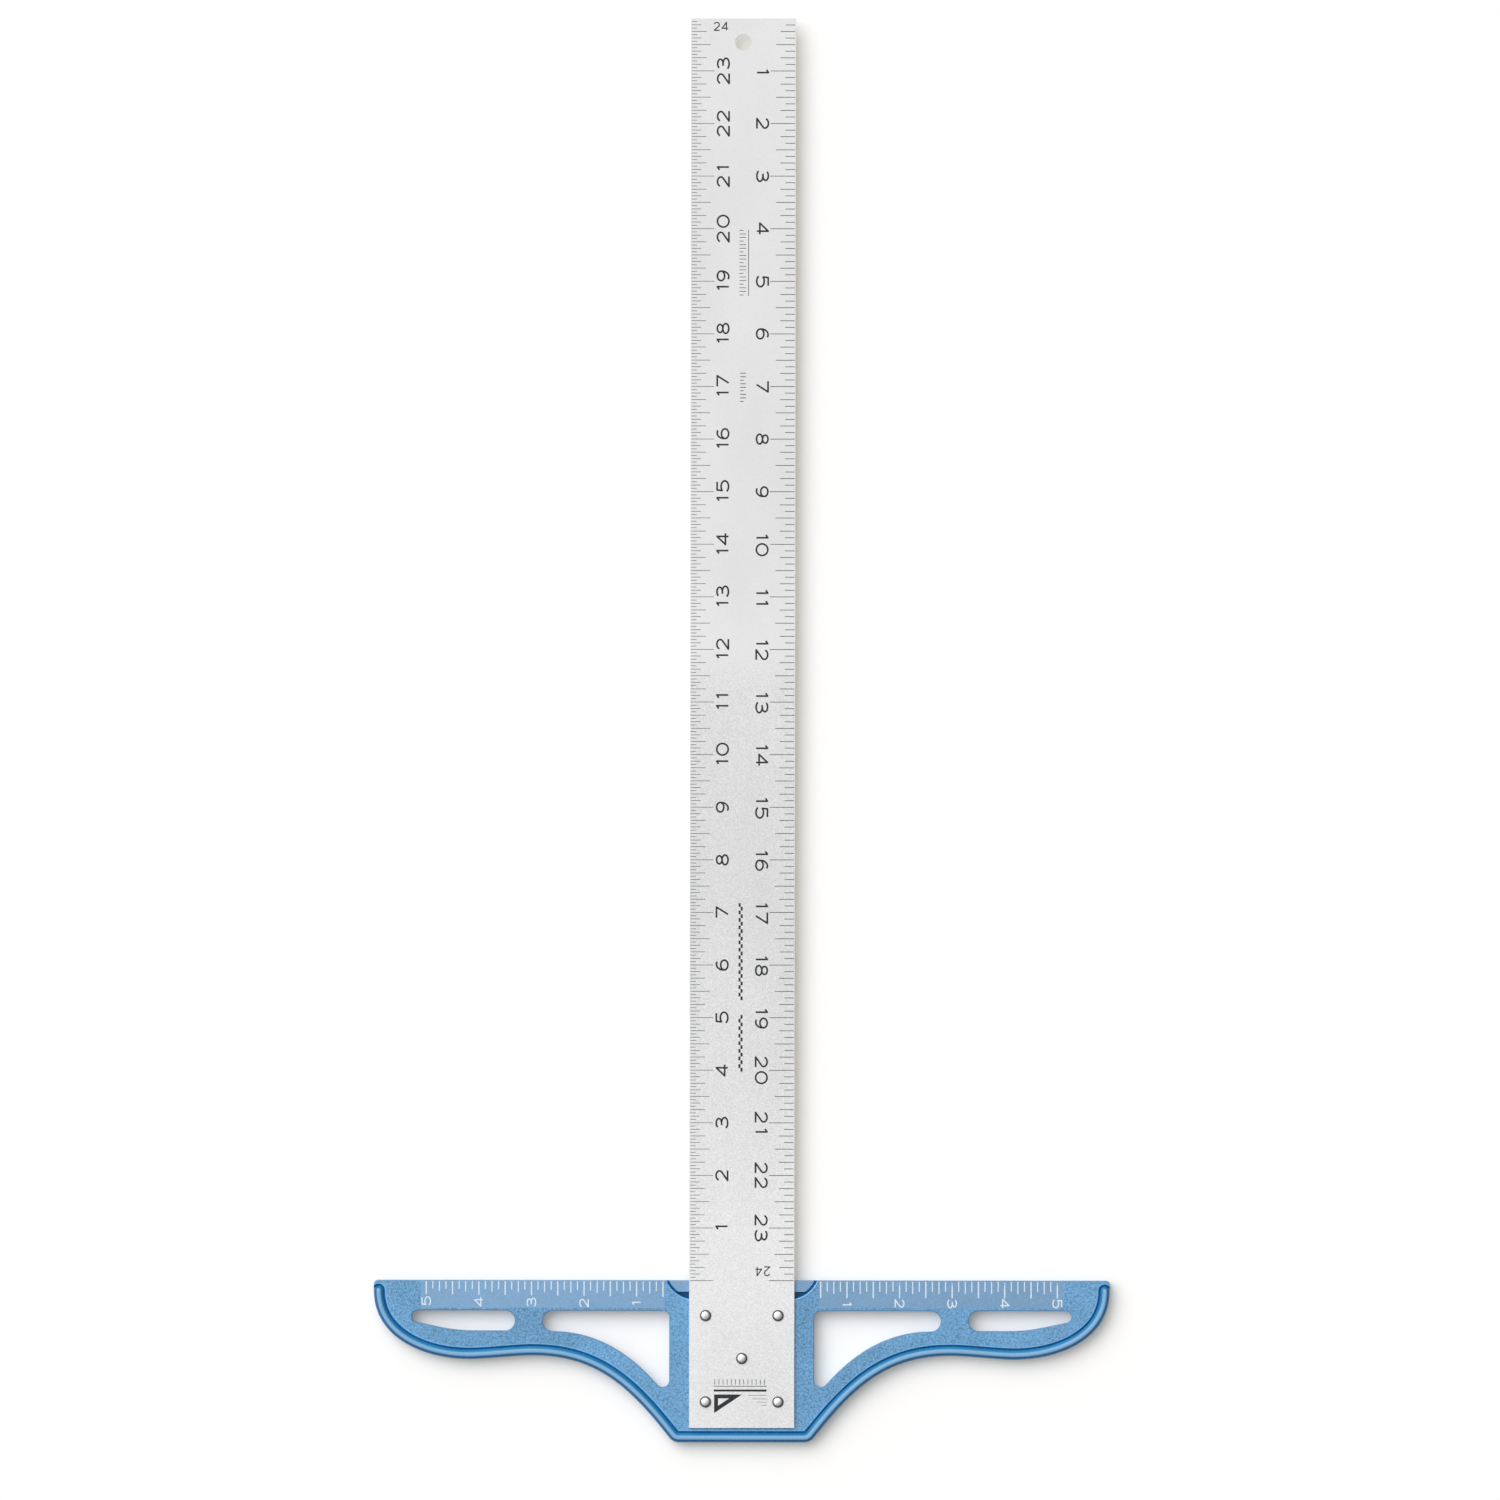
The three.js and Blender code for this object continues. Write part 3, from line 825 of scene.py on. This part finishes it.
def finish_at(face, route):
    """Which part of the mould a face of the head comes from."""
    x, y, z = face.center / MM
    level = face.normal.z > LEVEL_NORMAL
    in_pocket = abs(x) < BAND[0] + POCKET_SIDE and y > -POCKET_FLOOR_RADIUS
    if level and abs(z - HEAD_TOP) < LEVEL_SLACK:
        return "grained"
    if level and abs(z - HEAD_TOP + BAND_SINK) < LEVEL_SLACK and abs(x) > BAND[0]:
        return "band"
    if level and in_pocket and abs(z - LEDGE_TOP) < LEVEL_SLACK:
        return "band"
    if in_pocket and y < -POCKET_FRONT and z > LEDGE_TOP - LEDGE_LIP - LEVEL_SLACK:
        return "lip"
    if in_pocket and y < -POCKET_FRONT and z > TROUGH_FLOOR - LEVEL_SLACK:
        return "pocket"
    reach, inward = distance_to(route, x, y)
    if reach < BEAD_RADIUS + BEAD_SLACK and z > CHANNEL_FLOOR - FLOOR_SLACK:
        return "bead_inner" if inward else "bead"
    if reach < CHANNEL_HALF_WIDTH + LEVEL_SLACK and z > CHANNEL_FLOOR - FLOOR_SLACK:
        return "groove"
    if z > HEAD_TOP - EDGE_DEPTH:
        return "lip" if reach < CHANNEL_HALF_WIDTH + LIP_WIDTH else "edge"
    return "wall"


def paint_head(head, route):
    glossy = {
        # Painted light and shade on the bead: outer half darker, inner half lighter, top with a painted
        # highlight.
        "bead": (BLUE_BEAD_OUTER_SHADED, 0.3, BLUE_CREST_HIGHLIGHT),
        "bead_inner": (BLUE_BEAD_INNER_LIT, 0.2, BLUE_CREST_HIGHLIGHT),
        "groove": (scaled(BLUE_SHADE, 1.6), 0.1),
        # The rounded lips are painted lighter: a painted highlight.
        "lip": (scaled(BLUE, 1.55), 0.6),
        # The top edges and the walls are painted a little darker: painted shade.
        "edge": (scaled(BLUE, 0.85), 0.15),
        "wall": (scaled(BLUE, 0.85), 0.15),
        "pocket": (scaled(BLUE_SHADE, 1.2), 0.15),
    }
    finishes = {"grained": grained_plastic(), "band": band_plastic()}
    for name, look in glossy.items():
        finishes[name] = glossy_plastic(name, *look)
    head.data.materials.clear()
    for material in finishes.values():
        head.data.materials.append(material)
    order = list(finishes)
    for face in head.data.polygons:
        face.material_index = order.index(finish_at(face, route))


def make_head():
    edge = lower_edge()
    right = [inner_window(), outer_window()]
    windows = right + [mirrored(window) for window in right]
    route = offset(edge, BEAD_INSET, closed=False)
    levels = rounded_levels(0, HEAD_TOP, HEAD_FOOT_ROUND, HEAD_TOP_ROUND)
    head = prism("head_moulding", head_outline(edge), windows, levels)
    head = combined(cut(head, channel(route)), bead(route), "UNION")
    head = cut(head, pocket(), trough(), head_hollow(edge, windows), scale_band(-1), scale_band(1))
    head = cut(head, *[rivet_hole(name) for name in RIVETS])
    paint_head(head, route)
    smoothed(head)
    return finished(head, None, "head_plastic", "head")


# ---- Blade, rivets and washers ----


def make_blade():
    outline = rectangle((-HALF_BLADE, BLADE_TAIL), (HALF_BLADE, BLADE_TIP))
    holes = [circle((0.0, BLADE_TIP - HANG_HOLE_FROM_TIP), HANG_HOLE_RADIUS)]
    holes += [circle(rivet_place(name), RIVET_HOLE_RADIUS) for name in RIVETS]
    levels = rounded_levels(HEAD_TOP, BLADE_TOP, SHEET_EDGE, SHEET_EDGE, 2)
    blade = smoothed(prism("blade_sheet", outline, holes, levels))
    return finished(blade, blade_metal(), "blade_aluminium", "blade")


def rivet_profile(foot, rim, top):
    """From the bore's end, round the rolled foot, up the shank and over the dome."""
    roll_top = BOSS_FOOT - WASHER_THICKNESS
    roll_centre = (RIVET_ROLL_MIDDLE, roll_top)
    roll_radii = (RIVET_ROLL_HALF_WIDTH, roll_top - foot)
    dome_centre = (0.0, BLADE_TOP + RIVET_RIM_HEIGHT)
    dome = arc(dome_centre, (rim, top - BLADE_TOP - RIVET_RIM_HEIGHT), 0.0, pi / 2)
    roll = arc(roll_centre, roll_radii, -pi / 2, 0.0, SMALL_ARC_STEP)
    bore = arc(roll_centre, roll_radii, -pi, -pi / 2, SMALL_ARC_STEP)
    bore_end = foot + RIVET_BORE_DEPTH
    return [(0.0, bore_end), (RIVET_BORE_RADIUS, bore_end), *bore, *roll[1:],
            (RIVET_SHANK_RADIUS, roll_top), (RIVET_SHANK_RADIUS, BLADE_TOP), (rim, BLADE_TOP), *dome]


def make_rivets():
    metal = rivet_metal()
    rim_shade = rivet_grime()
    for name in RIVETS:
        low, high = node_box("rivet_" + name)
        rim = (high.x - low.x) / 2
        profile = rivet_profile(low.z, rim, high.z)
        rivet = smoothed(lathe("rivet_" + name + "_turned", profile, rivet_place(name)))
        finished(rivet, metal, "rivet_metal", "rivet_" + name)
        rivet.data.materials.append(rim_shade)
        centre = Vector(rivet_place(name))
        for face in rivet.data.polygons:
            out = (face.center.xy / MM - centre).length
            # The outer ring of each dome gets the painted shade.
            if face.center.z > BLADE_TOP * MM and out > rim - RIVET_RING:
                face.material_index = 1


def make_washers():
    metal = washer_metal()
    hole = RIVET_HOLE_RADIUS
    soft = WASHER_EDGE
    for name in RIVETS:
        low, high = node_box("washer_" + name)
        rim = (high.x - low.x) / 2
        profile = [(hole, low.z + soft), (hole + soft, low.z), (rim - soft, low.z), (rim, low.z + soft),
                   (rim, high.z - soft), (rim - soft, high.z), (hole + soft, high.z), (hole, high.z - soft),
                   (hole, low.z + soft)]
        washer = smoothed(lathe("washer_" + name + "_pressed", profile, rivet_place(name)))
        finished(washer, metal, "washer_metal", "washer_" + name)


# ---- Numerals: pen strokes in a cell one cap height tall ----

CAP = 5.65
PEN = 0.85
DIGIT_GAP = 2.3
PEN_CAP_STEP = radians(30)
PEN_ARC_STEP = radians(12)


def degrees_arc(centre, radii, start, end):
    return arc(centre, radii, radians(start), radians(end), PEN_ARC_STEP)


def full_turn(centre, radii):
    return degrees_arc(centre, radii, 0, 360)


# For each digit, its cell's width and its strokes, in millimetres from the base line.
DIGITS = {
    "0": (5.6, [full_turn((2.8, CAP / 2), (2.8, CAP / 2))]),
    "1": (2.9, [[(0.85, CAP - 0.95), (2.25, CAP), (2.25, 0.0)]]),
    "2": (4.85, [degrees_arc((2.35, CAP - 1.65), (2.25, 1.65), 165, -38) + [(0.0, 0.0), (4.85, 0.0)]]),
    "3": (5.1, [degrees_arc((2.4, CAP - 1.33), (2.2, 1.33), 152, -90),
                degrees_arc((2.45, 1.5), (2.62, 1.5), 90, -155),
                [(1.4, CAP - 2.66), (2.45, CAP - 2.66)]]),
    "4": (5.45, [[(3.9, 0.0), (3.9, CAP), (0.0, 1.5), (5.45, 1.5)]]),
    "5": (5.2, [[(4.75, CAP), (0.8, CAP), (0.5, 2.9)],
                [(0.5, 2.9)] + degrees_arc((2.5, 1.85), (2.7, 1.85), 128, -152)]),
    "6": (4.7, [full_turn((2.35, 1.78), (2.35, 1.78)),
                degrees_arc((2.7, 2.3), (2.7, 3.35), 185, 62)]),
    "7": (5.15, [[(0.0, CAP), (5.15, CAP), (1.65, 0.0)]]),
    "8": (4.7, [full_turn((2.35, CAP - 1.35), (1.95, 1.35)),
                full_turn((2.35, 1.48), (2.35, 1.48))]),
    "9": (4.55, [full_turn((2.28, CAP - 1.78), (2.28, 1.78)),
                 degrees_arc((1.9, CAP - 2.3), (2.65, 3.35), 5, -118)]),
}


def pen_outline(stroke, pen):
    """Outlines that together cover what a pen leaves along a stroke, round at its bends."""
    half = pen / 2
    if dist(stroke[0], stroke[-1]) < SAME_POINT:
        loop = stroke[:-1]
        outer = offset(loop, half)
        inner = offset(loop, -half)
        count = len(loop)
        return [[outer[i], outer[(i + 1) % count], inner[(i + 1) % count], inner[i]] for i in range(count)]
    shapes = []
    for start, end in zip(stroke, stroke[1:]):
        along = (Vector(end) - Vector(start)).normalized() * half
        side = (-along.y, along.x)
        shapes.append([(start[0] + side[0], start[1] + side[1]), (start[0] - side[0], start[1] - side[1]),
                       (end[0] - side[0], end[1] - side[1]), (end[0] + side[0], end[1] + side[1])])
    for corner in stroke[1:-1]:
        shapes.append(circle(corner, half, PEN_CAP_STEP))
    return shapes


def merged(shapes):
    """(points, triangles) of the union of some simple outlines."""
    spots = []
    faces = []
    for shape in shapes:
        ring = shape[::-1] if is_clockwise(shape) else shape
        faces.append(list(range(len(spots), len(spots) + len(ring))))
        spots.extend(Vector(p) for p in ring)
    found = delaunay_2d_cdt(spots, [], faces, 1, SAME_POINT, True)
    triangles = [face for face, source in zip(found[2], found[5]) if source]
    return [tuple(v) for v in found[0]], triangles


def thickened(flat, low, high):
    """A flat triangulated figure made into a thin closed solid: its corners and faces."""
    points, triangles = flat
    count = len(points)
    corners = [(x, y, low) for x, y in points] + [(x, y, high) for x, y in points]
    faces = [tuple(reversed(t)) for t in triangles]
    faces += [tuple(i + count for i in t) for t in triangles]
    edges = dict.fromkeys((t[i], t[(i + 1) % len(t)]) for t in triangles for i in range(len(t)))
    faces += [(a, b, b + count, a + count) for a, b in edges if (b, a) not in edges]
    return corners, faces


class Print:
    """Ink figures gathered into one piece: digits and bars at their places on a surface."""

    def __init__(self, surface):
        self.low = surface - INK_SINK
        self.high = surface + INK_HEIGHT
        self.corners = []
        self.faces = []

    def add(self, flat, place=(0.0, 0.0), turn=0.0):
        points, triangles = flat
        moved = [turned(point, place, turn) for point in points]
        corners, faces = thickened((moved, triangles), self.low, self.high)
        start = len(self.corners)
        self.corners.extend(corners)
        self.faces.extend(tuple(start + i for i in face) for face in faces)

    def bar(self, low, high):
        self.add((rectangle(low, high), [(0, 1, 2), (0, 2, 3)]))

    def number(self, text, place, turn, style):
        """A number centred on its place; turn is the direction in which it reads."""
        wide, tall, pen = style
        widths = [DIGITS[digit][0] * wide for digit in text]
        gap = DIGIT_GAP * wide
        along = -(sum(widths) + gap * (len(widths) - 1)) / 2
        for digit, width in zip(text, widths):
            self.add(figure(digit, style), turned((along, -CAP * tall / 2), place, turn), turn)
            along += width + gap

    def piece(self, name, material, slot):
        mesh = bpy.data.meshes.new(name)
        mesh.from_pydata([Vector(c) * MM for c in self.corners], [], self.faces)
        mesh.validate()
        return finished(linked(name, mesh), material, slot)


@cache
def figure(digit, style):
    wide, tall, pen = style
    strokes = [[(x * wide, y * tall) for x, y in stroke] for stroke in DIGITS[digit][1]]
    return merged([shape for stroke in strokes for shape in pen_outline(stroke, pen)])


# ---- Scales ----

BLADE_INCHES = 24
HEAD_INCHES = 5

# Widths of the lines, and how far the marks stay from the edge.
LEFT_LINE = 0.25
RIGHT_LINE = 0.31
HEAD_LINE = 0.6
HEAD_FINE_LINE = 0.5
EDGE_MARGIN = 0.45
HEAD_EDGE_MARGIN = 0.5

# Marks of each scale: (steps between such marks, length), coarsest first.
LEFT_MARKS = [(16, 11.4), (8, 9.65), (4, 7.55), (2, 5.1), (1, 3.05)]
RIGHT_MARKS = [(8, 12.3), (4, 9.65), (2, 7.5), (1, 5.05)]
LEFT_HEAD_MARKS = [(4, 6.7), (2, 5.2), (1, 4.0)]
RIGHT_HEAD_MARKS = [(4, 8.45), (2, 6.4), (1, 5.35)]

# Styles of numerals: (width factor, height factor, pen).
BLADE_STYLE = (1.0, 0.98, PEN)
TIP_STYLE = (0.53, 0.68, 0.55)
ROOT_STYLE = (0.55, 0.75, 0.55)
LEFT_HEAD_STYLE = (0.79, 0.72, 0.6)
RIGHT_HEAD_STYLE = (0.78, 0.74, 0.62)

# The middles of the numerals: across the blade, below the head's working edge, and of the two 24s.
LEFT_NUMERAL_MIDDLE = -9.7
RIGHT_NUMERAL_MIDDLE = 9.3
LEFT_HEAD_MIDDLE = 10.1
RIGHT_HEAD_MIDDLE = 11.05
TIP_NUMERAL = (-10.8, BLADE_TIP - 3.9)
ROOT_NUMERAL = (10.0, 4.5)

# The left scale of the head is printed askew: it sinks this much for each millimetre inwards.
LEFT_ASKEW = 0.011
# On the right of the head the inch marks are worn through between these depths.
WORN_FROM = 1.7
WORN_TO = 2.2
WORN_PIECE = 0.5


def mark_length(step, marks):
    return next(length for every, length in marks if step % every == 0)


def blade_scales(black):
    """Sixteenths up the blade's left edge, and eighths down its right edge from the tip."""
    marks = Print(BLADE_TOP)
    numerals = Print(BLADE_TOP)
    edge = HALF_BLADE - EDGE_MARGIN
    for step in range(BLADE_INCHES * 16):
        y = step * INCH / 16
        end = mark_length(step, LEFT_MARKS) - HALF_BLADE
        marks.bar((-edge, y - LEFT_LINE / 2), (end, y + LEFT_LINE / 2))
    for step in range(1, BLADE_INCHES * 8 + 1):
        y = BLADE_TIP - step * INCH / 8
        start = HALF_BLADE - mark_length(step, RIGHT_MARKS)
        marks.bar((start, y - RIGHT_LINE / 2), (edge, y + RIGHT_LINE / 2))
    for inches in range(1, BLADE_INCHES):
        y = inches * INCH
        numerals.number(str(inches), (LEFT_NUMERAL_MIDDLE, y), pi / 2, BLADE_STYLE)
        numerals.number(str(inches), (RIGHT_NUMERAL_MIDDLE, BLADE_TIP - y), -pi / 2, BLADE_STYLE)
    numerals.number(str(BLADE_INCHES), TIP_NUMERAL, 0.0, TIP_STYLE)
    numerals.number(str(BLADE_INCHES), ROOT_NUMERAL, pi, ROOT_STYLE)
    marks.piece("blade_scale_marks", black, "black_ink")
    numerals.piece("blade_scale_numerals", black, "black_ink")


def stroke_row(marks, low, high, foot, top, pitch, pen):
    """Short strokes across the blade, from low to high along it, every third one shorter."""
    count = round((high - low) / pitch)
    for i in range(count + 1):
        y = low + i * (high - low) / count
        reach = top if i % 3 else foot + 0.6 * (top - foot)
        marks.bar((foot, y - pen / 2), (reach, y + pen / 2))


def bar_scale(marks, low, high, blocks):
    """A drafting bar scale along the blade: two rows of blocks, filled in turn."""
    left, right = BAR_SCALE_SIDES
    middle = (left + right) / 2
    pitch = (high - low) / blocks
    for i in range(blocks):
        row = (left, middle) if i % 2 else (middle, right)
        marks.bar((row[0], low + i * pitch), (row[1], low + (i + 1) * pitch))


def set_square(marks, corner, width, height, rim):
    """A set square seen flat: a right-angled triangle with a triangular opening."""
    x, y = corner
    outer = [(x, y), (x + width, y), (x, y - height)]
    slope = hypot(width, height)
    inset_x = rim * (width + slope) / height
    inset_y = rim * (height + slope) / width
    inner = [(x + rim, y - rim), (x + width - inset_x, y - rim), (x + rim, y - height + inset_y)]
    marks.add((outer + inner, [(0, 1, 4), (0, 4, 3), (1, 2, 5), (1, 5, 4), (2, 0, 3), (2, 3, 5)]))


# Generic marks: places across and along the blade.
UPPER_RULE = ((2.45, 475.6), (2.75, 507.4))
BAR_SCALE_SIDES = (-1.8, 0.2)
EMBLEM_SIDES = (-13.5, 12.0)
EMBLEM_STROKES = (-50.3, -47.7)
EMBLEM_RULES = ((-51.2, -50.9), (-53.6, -52.6))
EMBLEM_PEN = 0.3
LINE_START = (3.0, -55.4)
LINE_STEP = (2.2, -1.6)
LINE_PEN = 0.18


def emblem(marks):
    """A row of strokes, two rules, a set square and four parallel lines."""
    left, right = EMBLEM_SIDES
    foot, top = EMBLEM_STROKES
    for x in range(-13, 13, 2):
        marks.bar((x - EMBLEM_PEN / 2, foot), (x + EMBLEM_PEN / 2, top))
    for low, high in EMBLEM_RULES:
        marks.bar((left, low), (right, high))
    set_square(marks, corner=(-13.3, -55.0), width=13.5, height=9.0, rim=1.9)
    for line in range(4):
        x, y = (start + line * step for start, step in zip(LINE_START, LINE_STEP))
        marks.bar((x, y - LINE_PEN), (right, y))


def generic_marks(black):
    """Plain drafting marks along the middle of the blade and at its root."""
    marks = Print(BLADE_TOP)
    marks.bar(*UPPER_RULE)
    stroke_row(marks, low=476.0, high=507.2, foot=-1.8, top=1.4, pitch=1.75, pen=0.3)
    stroke_row(marks, low=424.6, high=438.2, foot=-1.4, top=1.4, pitch=1.7, pen=0.35)
    bar_scale(marks, low=135.4, high=182.3, blocks=26)
    bar_scale(marks, low=100.9, high=128.3, blocks=15)
    emblem(marks)
    marks.piece("blade_generic_marks", black, "black_ink")


def head_mark(marks, side, step, tip):
    """One mark of the head's scale, down to its tip; some inch marks are worn through."""
    x = side * (HALF_BLADE + step * INCH / 8)
    half = (HEAD_LINE if step % 4 == 0 else HEAD_FINE_LINE) / 2
    if side > 0 and step % 8 == 0 and step > 8:
        marks.bar((x - half, tip), (x + half, -WORN_TO))
        marks.bar((x - half, -WORN_FROM), (x + half, WORN_PIECE - WORN_FROM))
    else:
        marks.bar((x - half, tip), (x + half, -HEAD_EDGE_MARGIN))


def head_scales(white):
    """Eighths outwards from the blade along the working edge, from half an inch on each side."""
    surface = HEAD_TOP - BAND_SINK
    marks = Print(surface)
    numerals = Print(surface)
    left = (-1, LEFT_HEAD_MARKS, LEFT_HEAD_STYLE, LEFT_HEAD_MIDDLE, LEFT_ASKEW)
    right = (1, RIGHT_HEAD_MARKS, RIGHT_HEAD_STYLE, RIGHT_HEAD_MIDDLE, 0.0)
    for side, lengths, style, middle, askew in (left, right):
        for step in range(4, HEAD_INCHES * 8 + 1):
            slip = askew * (HEAD_INCHES - step / 8) * INCH
            head_mark(marks, side, step, -mark_length(step, lengths) - slip)
        for inches in range(1, HEAD_INCHES + 1):
            slip = askew * (HEAD_INCHES - inches) * INCH
            place = (side * (HALF_BLADE + inches * INCH), -middle - slip)
            numerals.number(str(inches), place, -side * pi / 2, style)
    marks.piece("head_scale_marks", white, "white_ink")
    numerals.piece("head_scale_numerals", white, "white_ink")


# ---- Floor, light and camera ----

# The camera looks straight down from far away, and shows this much of the blade's top.
SHOWN_SIDE = 724.4
SENSOR_WIDTH = 36.0
VIEW_CENTRE = (3.6, 256.25)
VIEW_DISTANCE = 9000.0
VIEW_ROLL = radians(0.08)
CLIP_END = 50.0
# The floor glows a little, so that it stays pale in the shade.
FLOOR_HALF_SIDE = 4000.0
FLOOR_COLOUR = (0.88, 0.88, 0.9)
FLOOR_GLOW = (0.13, 0.118, 0.085)
# A white sky, brightest in one direction and lowest beyond an angle whose cosine is SKY_EDGE.
SKY_TOWARDS = (-0.6, 0.6, 1.0)
SKY_EDGE = 0.2
SKY_LOW = 0.2
SKY_HIGH = 1.2
# The key light: a soft sun.
KEY_TOWARDS = (-0.52, 0.56, 1.0)
KEY_WIDTH = radians(50)
KEY_POWER = 1.4


def make_floor():
    settings = {"Base_Color": FLOOR_COLOUR, "Emission_Color": FLOOR_GLOW, "Emission_Strength": 1.0}
    made = new_material("floor_white", Roughness=0.9, **settings)
    far = FLOOR_HALF_SIDE
    corners = [(x, y, 0.0) for x, y in rectangle((-far, -far), (far, far))]
    floor = mesh_object("floor", corners, [(0, 1, 2, 3)])
    floor.data.materials.append(made.owner)
    floor.location.z = HEAD_LOW.z * MM


def make_sky():
    sky = Nodes(bpy.data.worlds.new("studio"), "Background", "Generated", Color=(1.0, 1.0, 1.0))
    bpy.context.scene.world = sky.owner
    inputs = {0: sky.place, 1: Vector(SKY_TOWARDS).normalized()}
    cosine = sky.add("ShaderNodeVectorMath", inputs, operation="DOT_PRODUCT").outputs["Value"]
    strength = sky.ramp(cosine, SKY_EDGE, 1.0, SKY_LOW, SKY_HIGH, interpolation_type="SMOOTHSTEP")
    sky.link(strength, sky.shader.inputs["Strength"])


def make_key_light():
    lamp = linked("key", bpy.data.lights.new("key", "SUN"))
    lamp.data.energy = KEY_POWER
    lamp.data.angle = KEY_WIDTH
    lamp.rotation_euler = Vector(KEY_TOWARDS).to_track_quat("Z", "Y").to_euler()


def make_camera():
    camera = linked("camera", bpy.data.cameras.new("camera"))
    camera.data.sensor_width = SENSOR_WIDTH
    camera.data.lens = SENSOR_WIDTH * (VIEW_DISTANCE - BLADE_TOP) / SHOWN_SIDE
    camera.data.clip_end = CLIP_END
    camera.location = Vector((*VIEW_CENTRE, VIEW_DISTANCE)) * MM
    camera.rotation_euler = (0.0, 0.0, VIEW_ROLL)
    bpy.context.scene.camera = camera
    bpy.context.scene.view_settings.view_transform = "Standard"


make_camera()
make_sky()
make_key_light()
make_floor()
make_head()
make_blade()
make_rivets()
make_washers()
black_ink = ink("ink_black", BLACK_TONES, 0.5)
white_ink = ink("ink_white", WHITE_TONES, 0.45)
blade_scales(black_ink)
generic_marks(black_ink)
head_scales(white_ink)
